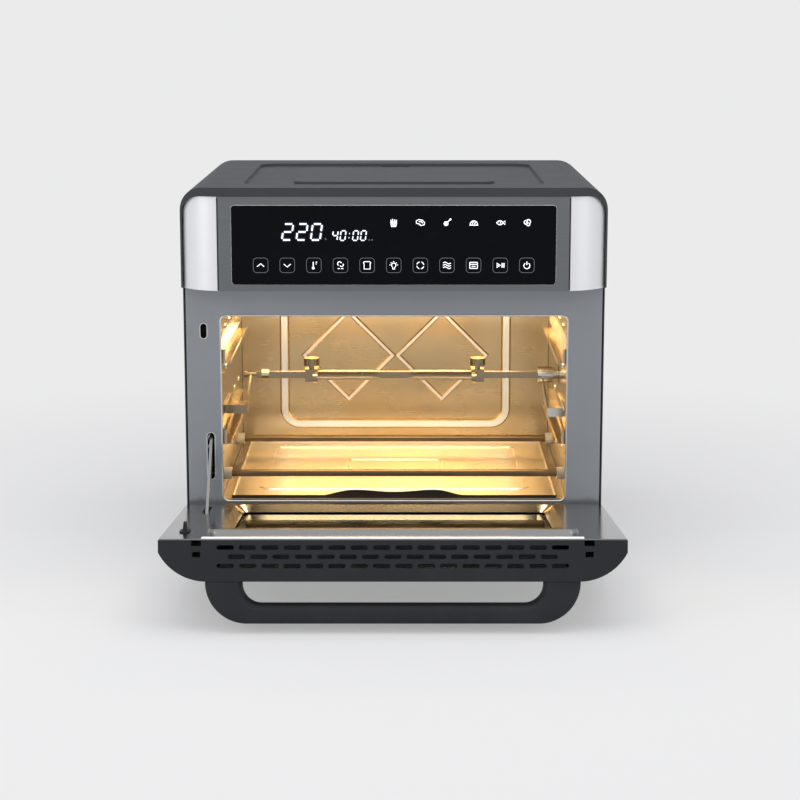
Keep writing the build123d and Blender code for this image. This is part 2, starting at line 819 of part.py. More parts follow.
keep(impeller(fan_radius, fan_height, fan_low, 9), "fan_impeller")
keep(impeller(cooling_radius, cooling_height, cooling_low, 7), "cooling_impeller")

with BuildPart() as fan_shaft:
    with BuildSketch(level(fan_low - 1)):
        with Locations((0, fan_y)):
            Circle(fan_shaft_radius - pin_clearance)
    extrude(amount=cooling_low + cooling_height + 2 - fan_low)
keep(fan_shaft.part, "fan_shaft")

# Fan motor: laminated body between two bearing plates, on a bracket fixed to the ceiling's pocket
with BuildPart() as fan_motor:
    with BuildSketch(level(motor_low)):
        with Locations((0, fan_y)):
            Rectangle(3.4 * motor_radius, 14)
            RegularPolygon(16, 20)
    extrude(amount=2)
    with BuildSketch(level(motor_low + 2)):
        with Locations((0, fan_y)):
            RectangleRounded(2 * motor_radius, 1.5 * motor_radius, 4)
    extrude(amount=motor_height - 8)
    with BuildSketch(level(motor_low + 2)):
        with Locations((0, fan_y)):
            RegularPolygon(15, 20)
    extrude(amount=motor_height - 2)
    with Locations((0, fan_y, motor_top)):
        Hole(fan_shaft_radius + fit_gap, depth=motor_height)
keep(fan_motor.part, "fan_motor")

# Wire guard below the upper heater: straight wires welded across two runners, on four posts
guard_z = upper_z - 9.0
guard_wire = 1.3
guard_width = 216.0
guard_depth = 168.0
guard_wires = 7
runner_x = guard_width / 3
runner_half = guard_depth / 2 + 6
runner_z = guard_z + 1.4 * guard_wire
with BuildPart() as heater_guard:
    with BuildSketch(facing_right(-guard_width / 2)):
        with Locations((fan_y, guard_z)):
            with GridLocations(guard_depth / (guard_wires - 1), 0, guard_wires, 1):
                RegularPolygon(guard_wire, 6)
    extrude(amount=guard_width)
    with BuildSketch(facing_front(fan_y + runner_half)):
        with Locations((-runner_x, runner_z), (runner_x, runner_z)):
            RegularPolygon(guard_wire, 6)
    extrude(amount=2 * runner_half)
    with BuildSketch(level(runner_z)):
        with Locations((0, fan_y)):
            with GridLocations(2 * runner_x, 2 * runner_half - 4 * guard_wire, 2, 2):
                RegularPolygon(0.8 * guard_wire, 6, rotation=15)
    extrude(amount=cavity_ceiling_z - runner_z - fit_gap / 2)
keep(heater_guard.part, "heater_guard")

# Oven lamp: glass cap, bulb and metal holder through the left wall, high up and out of view
lamp_y = cavity_depth - 31.0
lamp_z = cavity_ceiling_z - 32.0
lamp_radius = 17.0
with BuildPart() as lamp_lens:
    with BuildSketch(facing_right(-cavity_half + fit_gap)):
        with Locations((lamp_y, lamp_z)):
            RegularPolygon(lamp_radius, 20)
    extrude(amount=7, taper=12)
    with BuildSketch(facing_right(-cavity_half + fit_gap)):
        with Locations((lamp_y, lamp_z)):
            RegularPolygon(lamp_radius - 2.5, 20)
    extrude(amount=5, mode=Mode.SUBTRACT)
keep(lamp_lens.part, "lamp_lens")

with BuildPart() as lamp_bulb:
    with BuildSketch(facing_right(-cavity_half + fit_gap)):
        with Locations((lamp_y, lamp_z)):
            RegularPolygon(5, 12)
    extrude(amount=4)
keep(lamp_bulb.part, "lamp_bulb")

with BuildPart() as lamp_holder:
    with BuildSketch(facing_right(-cavity_half - liner_sheet)):
        with Locations((lamp_y, lamp_z)):
            Rectangle(36, 30)
    extrude(amount=-2)
    with BuildSketch(facing_right(-cavity_half - liner_sheet - 2)):
        with Locations((lamp_y, lamp_z)):
            RegularPolygon(11, 16)
    extrude(amount=-18)
keep(lamp_holder.part, "lamp_holder")

# Rotisserie: drive socket with its shaft, geared motor outside the wall, square spit and its two forks
socket_reach = 9.0
motor_x = cavity_half + liner_sheet + fit_gap
with BuildPart() as drive_socket:
    with BuildSketch(facing_right(socket_x)):
        with Locations((spit_y, spit_z)):
            RegularPolygon(socket_radius, 24)
    extrude(amount=socket_length)
    with BuildSketch(facing_right(socket_x)):
        with Locations((spit_y, spit_z)):
            Rectangle(spit_side + 4 * pin_clearance, spit_side + 4 * pin_clearance)
    extrude(amount=socket_reach, mode=Mode.SUBTRACT)
    with BuildSketch(facing_right(socket_x + socket_length)):
        with Locations((spit_y, spit_z)):
            RegularPolygon(4, 12)
    extrude(amount=motor_x + 8 - socket_x - socket_length)
keep(drive_socket.part, "drive_socket")

with BuildPart() as rotisserie_motor:
    with BuildSketch(facing_right(motor_x)):
        with Locations((spit_y, spit_z)):
            RectangleRounded(46, 46, 6)
            RegularPolygon(4 + 2 * fit_gap, 16, mode=Mode.SUBTRACT)
    extrude(amount=9)
    with BuildSketch(facing_right(motor_x + 9)):
        with Locations((spit_y, spit_z)):
            RegularPolygon(24, 24)
    extrude(amount=13)
keep(rotisserie_motor.part, "rotisserie_motor")

spit_end_x = socket_x + socket_reach - 1.0
neck_length = 9.0
collar_x = spit_left_x + 14.0
with BuildPart() as spit_rod:
    with BuildSketch(facing_right(spit_left_x + neck_length)):
        with Locations((spit_y, spit_z)):
            Rectangle(spit_side, spit_side)
    extrude(amount=spit_end_x - spit_left_x - neck_length)
    with BuildSketch(facing_right(spit_left_x)):
        with Locations((spit_y, spit_z)):
            Circle(spit_neck_radius)
    extrude(amount=neck_length)
    with BuildSketch(facing_right(spit_left_x - 3)):
        with Locations((spit_y, spit_z)):
            RegularPolygon(spit_side / 2, 12)
    extrude(amount=3)
    with BuildSketch(facing_right(collar_x)):
        with Locations((spit_y, spit_z)):
            RegularPolygon(5.2, 12)
    extrude(amount=7)
    chamfer(spit_rod.faces().sort_by(Axis.X)[-1].edges(), 1.2)
keep(spit_rod.part, "spit_rod")

hub_length = 12.0
hub_height = 12.0
fork_bar = 4.0
screw_radius = 2.5
screw_head_lift = 3.0


def fork(side):
    """Square hub that slides on the spit, with a cross bar and two pointed tines towards the middle."""
    centre = side * fork_x
    inner_face = centre - side * hub_length / 2
    tine_places = [(spit_y - tine_spacing / 2, spit_z), (spit_y + tine_spacing / 2, spit_z)]
    with BuildPart() as piece:
        with BuildSketch(facing_right(centre - hub_length / 2)):
            with Locations((spit_y, spit_z)):
                Rectangle(hub_height, hub_height)
        extrude(amount=hub_length)
        with BuildSketch(facing_right(inner_face)):
            with Locations((spit_y, spit_z)):
                RectangleRounded(tine_spacing + 9, 9, 3)
        extrude(amount=side * fork_bar)
        with BuildSketch(facing_right(inner_face)):
            with Locations(*tine_places):
                RegularPolygon(tine_radius, 8)
        extrude(amount=-side * tine_length)
        with BuildSketch(facing_right(inner_face - side * tine_length)):
            with Locations(*tine_places):
                RegularPolygon(tine_radius, 8)
        extrude(amount=-side * tine_point, taper=12)
        with BuildSketch(facing_right(centre - hub_length)):
            with Locations((spit_y, spit_z)):
                Rectangle(spit_side + 2 * pin_clearance, spit_side + 2 * pin_clearance)
        extrude(amount=2 * hub_length, mode=Mode.SUBTRACT)
        with BuildSketch(level(spit_z)):
            with Locations((centre, spit_y)):
                Circle(screw_radius + pin_clearance)
        extrude(amount=hub_height, mode=Mode.SUBTRACT)
    return piece.part


def thumb_screw(side):
    """Fluted head on a plain shank that bears on the spit's top face."""
    centre = side * fork_x
    shank_z = spit_z + spit_side / 2 + pin_clearance
    head_z = spit_z + hub_height / 2 + screw_head_lift
    with BuildPart() as screw:
        with BuildSketch(level(shank_z)):
            with Locations((centre, spit_y)):
                Circle(screw_radius)
        extrude(amount=head_z - shank_z)
        with BuildSketch(level(head_z)):
            with Locations((centre, spit_y)):
                RegularPolygon(7.5, 12)
                with PolarLocations(7.6, 6):
                    RegularPolygon(1.3, 6, mode=Mode.SUBTRACT)
        extrude(amount=7)
    return screw.part


for side, hand in ((-1, "left"), (1, "right")):
    keep(fork(side), f"spit_fork_{hand}")
    keep(thumb_screw(side), f"thumb_screw_{hand}")

# Spit ramps on the side walls: a front plate, a wall flange and a sloping rail that leads the spit home
ramp_sheet = 1.6
ramp_flange = 1.2


def spit_ramp(side, rail_x, reach, notched):
    """Ramp from the front plate up to the spit; the notched one ends in an open hook for its neck."""
    wall_x = side * (cavity_half - fit_gap)
    rail_face = rail_x - side * ramp_sheet / 2
    plate_low = spit_z - ramp_drop - ramp_plate
    plate_y = spit_y - reach
    with BuildPart() as ramp:
        with BuildSketch(facing_right(wall_x)):
            with Locations((plate_y, plate_low)):
                Rectangle(reach - 8, ramp_plate, align=(Align.MIN, Align.MIN))
        extrude(amount=-side * ramp_flange)
        with BuildSketch(facing_right(rail_face)):
            with BuildLine():
                crest = spit_z + 1.5 if notched else spit_z - 3
                end = spit_y + 6.5 if notched else spit_y - 9
                Polyline(
                    (plate_y, plate_low),
                    (plate_y, plate_low + ramp_plate),
                    (spit_y - 12, crest),
                    (end, crest),
                    (end, spit_z - 10),
                    (spit_y - 18, spit_z - 13),
                    close=True,
                )
            make_face()
            if notched:
                with Locations((spit_y, spit_z)):
                    Circle(spit_neck_radius + fit_gap, mode=Mode.SUBTRACT)
                with Locations((spit_y, spit_z + 4)):
                    Rectangle(2 * (spit_neck_radius + fit_gap), 8, mode=Mode.SUBTRACT)
        extrude(amount=side * ramp_sheet)
        with BuildSketch(facing_front(plate_y)):
            with Locations(((wall_x + rail_face) / 2, plate_low + ramp_plate / 2)):
                Rectangle(abs(wall_x - rail_face), ramp_plate)
        extrude(amount=-ramp_sheet)
    return ramp.part


hook_x = spit_left_x + neck_length / 2
keep(spit_ramp(-1, hook_x, ramp_left, True), "spit_hook")
keep(spit_ramp(1, socket_x + 4.5, ramp_right, False), "drive_ramp")

# Parts in the side bays and above the cavity: door switch, temperature probe and power board
switch_y = frame_sheet + fit_gap
plunger_y = switch_tab_reach - door_gap + 0.5
with BuildPart() as door_switch:
    with BuildSketch(facing_front(plunger_y + 10)):
        with Locations((switch_slot_x, switch_slot_z)):
            Rectangle(9, 26)
    extrude(amount=plunger_y + 10 - switch_y)
    with BuildSketch(facing_front(plunger_y + 1.5)):
        with Locations((switch_slot_x, switch_slot_z)):
            Rectangle(10, 17)
    extrude(amount=plunger_y + 1.5, mode=Mode.SUBTRACT)
    with BuildSketch(facing_front(plunger_y + 2)):
        with Locations((switch_slot_x, switch_slot_z)):
            Rectangle(3, 5)
    extrude(amount=2)
keep(door_switch.part, "door_switch")

probe_place = (14.5 - cavity_half, cavity_ceiling_z - 40.0)
with BuildPart() as temperature_probe:
    with BuildSketch(facing_front(cavity_depth - fit_gap)):
        with Locations(probe_place):
            RegularPolygon(2.5, 8)
    extrude(amount=22)
    with BuildSketch(facing_front(cavity_depth - fit_gap)):
        with Locations(probe_place):
            RegularPolygon(6, 6)
    extrude(amount=2)
keep(temperature_probe.part, "temperature_probe")

power_board_y = cabinet_depth - 75.0
power_board_z = cavity_ceiling_z - 54.0
power_board_width = 90.0
power_board_height = 120.0
standoff = 5.0
standoff_radius = 3.0
relay_width = 19.0
relay_depth = 14.0
power_board_x = half_width - shell_sheet - standoff
with BuildPart() as power_board:
    with BuildSketch(facing_right(power_board_x)):
        with Locations((power_board_y, power_board_z)):
            Rectangle(power_board_width, power_board_height)
    extrude(amount=-board_thickness)
    with BuildSketch(facing_right(power_board_x - board_thickness)):
        with Locations((power_board_y, power_board_z)):
            with Locations((-20, 35), (5, 35)):
                Rectangle(relay_width, relay_width - 3)
            with Locations((-10, -30)):
                Rectangle(32, 28)
            with Locations((26, -25)):
                RegularPolygon(8, 12)
    extrude(amount=-relay_depth)
    with BuildSketch(facing_right(power_board_x)):
        with Locations((power_board_y, power_board_z)):
            with GridLocations(power_board_width - 10, power_board_height - 10, 2, 2):
                RegularPolygon(standoff_radius, 8)
    extrude(amount=standoff - fit_gap)
keep(power_board.part, "power_board")

# Crumb tray: shallow pressed tray with a waved tab on its front lip
with BuildPart() as crumb_tray:
    with BuildSketch(level(tray_z)):
        with Locations((0, tray_front + tray_depth / 2)):
            Rectangle(tray_width, tray_depth)
    extrude(amount=tray_rim + tray_sheet)
    with BuildSketch(level(tray_z + tray_sheet)):
        with Locations((0, tray_front + tray_depth / 2)):
            Rectangle(tray_width - 2 * tray_sheet, tray_depth - 2 * tray_sheet)
    extrude(amount=tray_rim + 1, mode=Mode.SUBTRACT)
    with BuildSketch(level(tray_z + tray_sheet)):
        with Locations((0, tray_front + tray_depth / 2 + 4)):
            RectangleRounded(tray_width - 44, tray_depth - 50, 12)
            RectangleRounded(tray_width - 56, tray_depth - 62, 7, mode=Mode.SUBTRACT)
            RectangleRounded(96, 66, 8)
            RectangleRounded(88, 58, 5, mode=Mode.SUBTRACT)
    extrude(amount=1.0, taper=20)
    with BuildSketch(facing_front(tray_front + tray_sheet)):
        tab_low = tray_z + tray_rim
        tab_top = tray_z + tray_tab_height
        with BuildLine():
            shoulder = tray_tab_width / 2
            crest = shoulder * 0.6
            Spline(
                (-shoulder, tab_low),
                (-crest, tab_top),
                (0, tab_top - 1.3),
                (crest, tab_top),
                (shoulder, tab_low),
                tangents=((1, 0), (1, 0)),
            )
            Line((shoulder, tab_low), (-shoulder, tab_low))
        make_face()
    extrude(amount=tray_sheet)
keep(crumb_tray.part, "crumb_tray")

# Hinge brackets: plate behind the flange with a tongue through it, and the pin that the door turns on
bracket_sheet = 2.0
bracket_height = 26.0
pin_length = 14.0


def hinge_bracket(side):
    """Fixed half of the hinge on one side, with its pin."""
    tongue_x = side * hinge_x
    with BuildPart() as bracket:
        with BuildSketch(facing_front(frame_sheet + bracket_sheet)):
            with Locations((tongue_x, hinge_z)):
                Rectangle(15, bracket_height)
        extrude(amount=bracket_sheet)
        with BuildSketch(facing_right(tongue_x - tongue_sheet / 2)):
            with Locations((hinge_y, hinge_z)):
                Circle(tongue_height / 2)
            with Locations(((hinge_y + frame_sheet) / 2, hinge_z)):
                Rectangle(frame_sheet - hinge_y, tongue_height)
        extrude(amount=tongue_sheet)
        with BuildSketch(facing_right(tongue_x + side * (tongue_sheet / 2 + 2))):
            with Locations((hinge_y, hinge_z)):
                Circle(pin_radius)
        extrude(amount=-side * pin_length)
    return bracket.part


keep(hinge_bracket(-1), "hinge_bracket_left")
keep(hinge_bracket(1), "hinge_bracket_right")

# Door blocks: the wrapped outline with the heel rounded about the hinge, so that it turns clear of the flange
door_start = -hinge_inset
door_back = hinge_inset - door_panel_sheet - fit_gap
heel_radius = hinge_inset - 1.0
ledge = 6.0


def door_block(inset, start, end, back):
    """Solid with the door's outline, inset from its outside, from v start to v end, heel rounded."""
    with BuildPart() as block:
        with BuildSketch(door_section(start)):
            add(front_plan(cabinet_width, door_outer, back, inset))
        extrude(amount=end - start)
        with BuildSketch(door_side(-half_width)) as side_outline:
            with Locations(((start + end) / 2, (door_outer - back) / 2)):
                Rectangle(end - start, door_outer + back)
            heel = side_outline.vertices().group_by(Axis.Y)[0].sort_by(Axis.X)[0]
            fillet(heel, heel_radius - inset)
        extrude(amount=cabinet_width, mode=Mode.INTERSECT)
    return block.part


# Slots in the heel that let the fixed tongues in at every angle of the door
with BuildPart() as tongue_slots:
    for side in (-1, 1):
        slot_depth = hinge_inset + 1 + tongue_height / 2 + 1
        with BuildSketch(door_side(side * hinge_x - tongue_sheet / 2 - 1)):
            with Locations((-hinge_inset - 1, -hinge_inset - 1)):
                Rectangle(slot_depth, slot_depth, align=(Align.MIN, Align.MIN))
        extrude(amount=tongue_sheet + 2)

# Door frame: moulded shell with a wide outer window, its ends wrapped like the panel's
frame_border = 30.0
shell_end = door_length - cap_thickness - pin_clearance
window_start = frame_border - hinge_inset
window_end = door_length - frame_border
outer_window_width = cabinet_width - 2 * wrap_width - 10
with BuildPart() as door_frame:
    add(door_block(0, door_start, shell_end, door_back))
    add(
        door_block(door_wall, door_start + door_wall, shell_end + 1, door_back - door_wall),
        mode=Mode.SUBTRACT,
    )
    with BuildSketch(door_face(-door_back - 1)):
        with Locations((0, (ledge + shell_end + 1) / 2)):
            Rectangle(cabinet_width - 2 * door_wall, shell_end + 1 - ledge)
    extrude(amount=door_back + 1, mode=Mode.SUBTRACT)
    with BuildSketch(door_face(0)):
        with Locations((0, (window_start + window_end) / 2)):
            RectangleRounded(outer_window_width, window_end - window_start, 6)
    extrude(amount=door_outer + 1, mode=Mode.SUBTRACT)
    add(tongue_slots.part, mode=Mode.SUBTRACT)
keep(door_frame.part, "door_frame")

# End cap: the moulded strip on the door's handle edge, pierced by three rows of outlet slots
latch_x = half_width - 30.0
latch_w = 4.5
with BuildSketch() as slot_outline:
    Rectangle(slot_length, slot_height)
    chamfer(slot_outline.vertices(), slot_height * 0.3)
with BuildPart() as door_vent_cap:
    with BuildSketch(door_section(door_length - cap_thickness)):
        add(front_plan(cabinet_width, door_outer, door_back))
    extrude(amount=cap_thickness)
    with BuildSketch(door_section(door_length - cap_thickness - 1)):
        for row, count in ((-1, slot_count), (0, slot_count - 1), (1, slot_count)):
            with Locations((0, row * slot_row_pitch - slot_row_w)):
                with GridLocations(slot_pitch, 0, count, 1):
                    add(slot_outline.sketch)
        with Locations((-latch_x, -latch_w), (latch_x, -latch_w)):
            Rectangle(6.5, 4.5)
        with Locations((-latch_x, door_back), (latch_x, door_back)):
            Rectangle(8, 9)
    extrude(amount=cap_thickness + 2, mode=Mode.SUBTRACT)
keep(door_vent_cap.part, "door_vent_cap")

# Inner door panel: polished sheet with a raised plateau that enters the cavity's mouth, round the window
panel_w = hinge_inset
sheet_back_w = panel_w - door_panel_sheet
plateau_mid = (plateau_start + plateau_end) / 2
plateau_length = plateau_end - plateau_start
window_margin = 2 * (plateau_crest + window_slope)
window_width = plateau_width - window_margin
window_length = plateau_length - window_margin
pane_w = panel_w - glass_sink
slope_rise = plateau_height + glass_sink
slope_taper = degrees(atan2(window_slope, slope_rise))
panel_side_gap = 0.8
panel_start = 0.5
with BuildPart() as door_inner_panel:
    with BuildSketch(door_face(-panel_w)):
        with Locations((0, (door_length + panel_start) / 2)):
            Rectangle(cabinet_width - 2 * panel_side_gap, door_length - panel_start)
    extrude(amount=door_panel_sheet)
    with BuildSketch(door_face(-sheet_back_w)):
        with Locations((0, plateau_mid)):
            RectangleRounded(plateau_width, plateau_length, 8)
    extrude(amount=-(plateau_height + door_panel_sheet), taper=30)
    with BuildSketch(door_face(-sheet_back_w)):
        with Locations((0, plateau_mid)):
            RectangleRounded(plateau_width - 8, plateau_length - 8, 6)
    extrude(amount=-plateau_height, taper=30, mode=Mode.SUBTRACT)
    with BuildSketch(door_face(-pane_w + door_panel_sheet)):
        with Locations((0, plateau_mid)):
            RectangleRounded(window_width - 2, window_length - 2, 5)
    rim_rise = plateau_height + glass_sink + door_panel_sheet
    extrude(amount=-rim_rise, taper=-slope_taper)
    with BuildSketch(door_face(-pane_w)):
        with Locations((0, plateau_mid)):
            RectangleRounded(window_width, window_length, 6)
    extrude(amount=-(slope_rise + 1), taper=-slope_taper, mode=Mode.SUBTRACT)
    with BuildSketch(door_face(0)):
        with Locations((0, plateau_mid)):
            RectangleRounded(window_width, window_length, 6)
    extrude(amount=-panel_w, mode=Mode.SUBTRACT)
    with BuildSketch(door_face(0)):
        with Locations((link_x, link_pin_v + 1)):
            SlotOverall(44, 6, rotation=90)
    extrude(amount=-(panel_w + 1), mode=Mode.SUBTRACT)
    add(tongue_slots.part, mode=Mode.SUBTRACT)
keep(door_inner_panel.part, "door_inner_panel")

with BuildPart() as door_inner_glass:
    with BuildSketch(door_face(-pane_w + door_panel_sheet + fit_gap)):
        with Locations((0, plateau_mid)):
            RectangleRounded(window_width + 12, window_length + 12, 5)
    extrude(amount=pane_thickness)
keep(door_inner_glass.part, "door_inner_glass")

with BuildPart() as door_outer_glass:
    with BuildSketch(door_face(door_outer - door_wall - fit_gap)):
        with Locations((0, (window_start + window_end) / 2)):
            Rectangle(outer_window_width + 14, window_end - window_start + 14)
    extrude(amount=-pane_thickness)
keep(door_outer_glass.part, "door_outer_glass")

# Handle: flat loop that stands out from the door's outer face, flush with the end cap
handle_root = door_outer + fit_gap / 2
handle_low = handle_root + handle_reach
with BuildPart() as door_handle:
    with BuildSketch(handle_plane(door_length)):
        add(arch(handle_width / 2, handle_root, handle_low, handle_outer_radius))
        add(
            arch(
                handle_width / 2 - handle_arm,
                handle_root - 1,
                handle_low - handle_bar,
                handle_inner_radius,
            ),
            mode=Mode.SUBTRACT,
        )
    extrude(amount=handle_depth)
    ends = door_handle.faces().filter_by(Plane(origin=(0, 0, 0), z_dir=v_axis))
    rims = ends.edges().filter_by(lambda edge: (edge.center() - hinge_point).dot(w_axis) > handle_root + 1)
    chamfer(rims, handle_edge)
keep(door_handle.part, "door_handle")

# Hinge plates of the door, screwed to the inner panel's back; the left one carries the stud for the link
plate_end = link_pin_v + 24.0
flange_reach = 12.0
flange_sheet = 1.2


def hinge_plate(side):
    """Moving half of the hinge: an eye on the pin, a web and a flange under the inner panel."""
    inner = side * (hinge_plate_x - hinge_plate_sheet / 2)
    with BuildPart() as plate:
        with BuildSketch(door_side(inner)):
            Circle(tongue_height / 2 + 0.5)
            with Locations((0, -tongue_height / 2)):
                Rectangle(ledge + 4, tongue_height, align=(Align.MIN, Align.MIN))
            with Locations((ledge + 2, -door_back)):
                Rectangle(plate_end - ledge - 2, door_back + 6, align=(Align.MIN, Align.MIN))
            Circle(pin_radius + pin_clearance, mode=Mode.SUBTRACT)
        extrude(amount=side * hinge_plate_sheet)
        with BuildSketch(door_face(-door_back)):
            flange_x = inner + side * (hinge_plate_sheet + flange_reach) / 2
            with Locations((flange_x, (ledge + 2 + plate_end) / 2)):
                Rectangle(flange_reach + hinge_plate_sheet, plate_end - ledge - 2)
        extrude(amount=flange_sheet)
    return plate.part


stud_face_x = -(hinge_plate_x - hinge_plate_sheet / 2)
stud_head_x = link_x + link_sheet / 2 + fit_gap
with BuildPart() as hinge_plate_left:
    add(hinge_plate(-1))
    with BuildSketch(door_side(stud_face_x - 1)):
        with Locations((link_pin_v, 0)):
            Circle(pin_radius)
    extrude(amount=stud_head_x + 1 - stud_face_x)
    with BuildSketch(door_side(stud_head_x)):
        with Locations((link_pin_v, 0)):
            Circle(pin_radius + 1.5)
    extrude(amount=1.2)
keep(hinge_plate_left.part, "hinge_plate_left")
keep(hinge_plate(1), "hinge_plate_right")

# Switch tab: small blade on the inner panel that presses the door switch through the flange
tab_v = switch_slot_z - hinge_z
with BuildPart() as door_switch_tab:
    with BuildSketch(door_face(-panel_w - pin_clearance)):
        with Locations((switch_slot_x, tab_v)):
            RectangleRounded(8, 15, 2)
    extrude(amount=-1.2)
    with BuildSketch(door_face(-panel_w - 1)):
        with Locations((switch_slot_x, tab_v)):
            Rectangle(3, 8)
    extrude(amount=-(switch_tab_reach - 1), taper=4)
keep(door_switch_tab.part, "door_switch_tab")

# Link: flat bar from the door's stud through the flange, with the balance spring on its tail
link_angle = radians(link_open_angle)
link_dir = Vector(0, cos(link_angle), sin(link_angle))
link_pin = hinge_point + v_axis * link_pin_v + Vector(link_x, 0, 0)
link_tail = link_pin + link_dir * link_length
link_plane = Plane(origin=link_pin - Vector(link_sheet / 2, 0, 0), x_dir=link_dir, z_dir=(1, 0, 0))
with BuildPart() as link_arm:
    with BuildSketch(link_plane):
        with Locations((link_length / 2, 0)):
            SlotCenterToCenter(link_length, link_width)
        Circle(pin_radius + pin_clearance, mode=Mode.SUBTRACT)
        with Locations((link_length, 0)):
            Circle(spring_wire + fit_gap, mode=Mode.SUBTRACT)
    extrude(amount=link_sheet)
keep(link_arm.part, "link_arm")

# Balance spring in the left side bay, from the link's tail to an anchor on the cavity's wall
anchor_point = Vector(link_x, spring_anchor_y, spring_anchor_z)
spring_line = anchor_point - link_tail
spring_dir = spring_line.normalized()
spring_start = link_tail + spring_dir * (link_width / 2 + spring_wire + fit_gap)
spring_length = spring_line.length - link_width / 2 - 2 * spring_wire - 2 * fit_gap
spring_across = Vector(1, 0, 0)
spring_up = spring_dir.cross(spring_across)


def coil_point(step):
    """Point of the coil's centre line, so many steps from its start."""
    turn = 2 * pi * step / spring_steps
    along = spring_length * step / (spring_steps * spring_turns)
    round_axis = spring_across * cos(turn) + spring_up * sin(turn)
    return spring_start + spring_dir * along + round_axis * spring_radius


with BuildPart() as balance_spring:
    with BuildLine() as coil:
        Polyline(*[coil_point(step) for step in range(spring_steps * spring_turns + 1)])
    with BuildSketch(Plane(origin=coil.line @ 0, z_dir=coil.line % 0)):
        RegularPolygon(spring_wire, 5)
    sweep(transition=Transition.RIGHT)
keep(balance_spring.part, "balance_spring")

anchor_sheet = 2.0
with BuildPart() as spring_anchor:
    wall_face = -(cavity_half + liner_sheet)
    with BuildSketch(facing_right(wall_face)):
        with Locations((spring_anchor_y + 9, spring_anchor_z)):
            RectangleRounded(22, 16, 2)
    extrude(amount=-anchor_sheet)
    with BuildSketch(facing_front(spring_anchor_y + anchor_sheet)):
        with Locations(((wall_face + link_x - 5) / 2, spring_anchor_z)):
            RectangleRounded(wall_face - link_x + 5, 14, 2)
    extrude(amount=anchor_sheet)
keep(spring_anchor.part, "spring_anchor")

# The origin goes to the middle of the footprint, and each piece is written out
ends_y = [piece.bounding_box() for piece in pieces]
shift_y = -(min(box.min.Y for box in ends_y) + max(box.max.Y for box in ends_y)) / 2
os.makedirs("parts", exist_ok=True)
for piece in pieces:
    placed = piece.moved(Location((0, shift_y, 0)))
    placed.label = piece.label
    export_step(placed, f"parts/{piece.label}.step")
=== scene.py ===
"""Mini oven with its door down: finishes, panel symbols, small fittings, lamps and camera."""

import bpy
from math import cos, radians, sin
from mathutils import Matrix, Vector


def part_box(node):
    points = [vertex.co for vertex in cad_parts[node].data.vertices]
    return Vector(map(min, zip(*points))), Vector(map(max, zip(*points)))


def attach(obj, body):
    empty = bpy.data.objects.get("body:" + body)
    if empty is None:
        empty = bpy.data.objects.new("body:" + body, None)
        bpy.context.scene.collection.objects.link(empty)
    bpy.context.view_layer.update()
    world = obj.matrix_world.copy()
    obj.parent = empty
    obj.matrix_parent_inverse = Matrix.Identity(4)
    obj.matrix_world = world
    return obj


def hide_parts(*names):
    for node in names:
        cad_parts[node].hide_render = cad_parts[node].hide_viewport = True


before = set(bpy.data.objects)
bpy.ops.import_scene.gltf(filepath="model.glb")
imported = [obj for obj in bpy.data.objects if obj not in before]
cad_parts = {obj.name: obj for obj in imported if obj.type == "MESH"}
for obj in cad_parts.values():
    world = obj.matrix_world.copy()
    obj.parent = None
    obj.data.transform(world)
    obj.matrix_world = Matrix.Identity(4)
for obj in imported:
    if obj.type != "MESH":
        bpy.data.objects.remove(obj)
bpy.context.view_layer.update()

# Faces of the frame that the scene's pieces stand on, and the driving sizes they share with it
mm = 0.001
flange_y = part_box("front_frame")[0].y
fascia_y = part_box("control_fascia")[0].y
glass_low, glass_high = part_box("touch_glass")
glass_y = glass_low.y
shell_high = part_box("outer_shell")[1]
cavity_depth = 245 * mm
cavity_half = 154.5 * mm
press_sink = 2.6 * mm
hinge_back = 9.5 * mm
hinge_up = 45 * mm
door_tilt = radians(6.6)
back_y = flange_y + cavity_depth
press_floor = shell_high.z - press_sink


# Finishes
class Term:
    """A value that varies over a surface; the operators add Math nodes."""

    def __init__(self, paint, socket):
        self.paint = paint
        self.socket = socket

    def maths(self, operation, first, second=0.0):
        return self.paint.node("ShaderNodeMath", {"operation": operation}, {0: first, 1: second})

    def __add__(self, other):
        return self.maths("ADD", self, other)

    def __radd__(self, other):
        return self.maths("ADD", other, self)

    def __sub__(self, other):
        return self.maths("SUBTRACT", self, other)

    def __rsub__(self, other):
        return self.maths("SUBTRACT", other, self)

    def __mul__(self, other):
        return self.maths("MULTIPLY", self, other)

    def __rmul__(self, other):
        return self.maths("MULTIPLY", other, self)

    def __abs__(self):
        return self.maths("ABSOLUTE", self)


class Net:
    """The nodes of a material or of the world."""

    def __init__(self, tree):
        self.tree = tree

    def node(self, kind, settings=None, values=None, output=0):
        """Adds one node of a kind, with its settings first and then its sockets' values or links."""
        made = self.tree.nodes.new(kind)
        for setting, value in (settings or {}).items():
            setattr(made, setting, value)
        for socket, value in (values or {}).items():
            if isinstance(value, Term):
                self.tree.links.new(value.socket, made.inputs[socket])
            else:
                made.inputs[socket].default_value = value
        return Term(self, made.outputs[output])

    def seen(self):
        """1 for rays that show a surface to the camera, straight or by a mirror or a glass."""
        kinds = ("Camera", "Glossy", "Transmission")
        rays = [self.node("ShaderNodeLightPath", output=f"Is {kind} Ray") for kind in kinds]
        return self.node("ShaderNodeMath", {"operation": "MINIMUM"}, {0: rays[0] + rays[1] + rays[2], 1: 1.0})

    def close(self, factor, first, second, outlet):
        """Mixes two shaders by a factor and feeds the outlet."""
        mixed = self.node("ShaderNodeMixShader", values={0: factor, 1: first, 2: second})
        self.tree.links.new(mixed.socket, self.tree.nodes[outlet].inputs["Surface"])


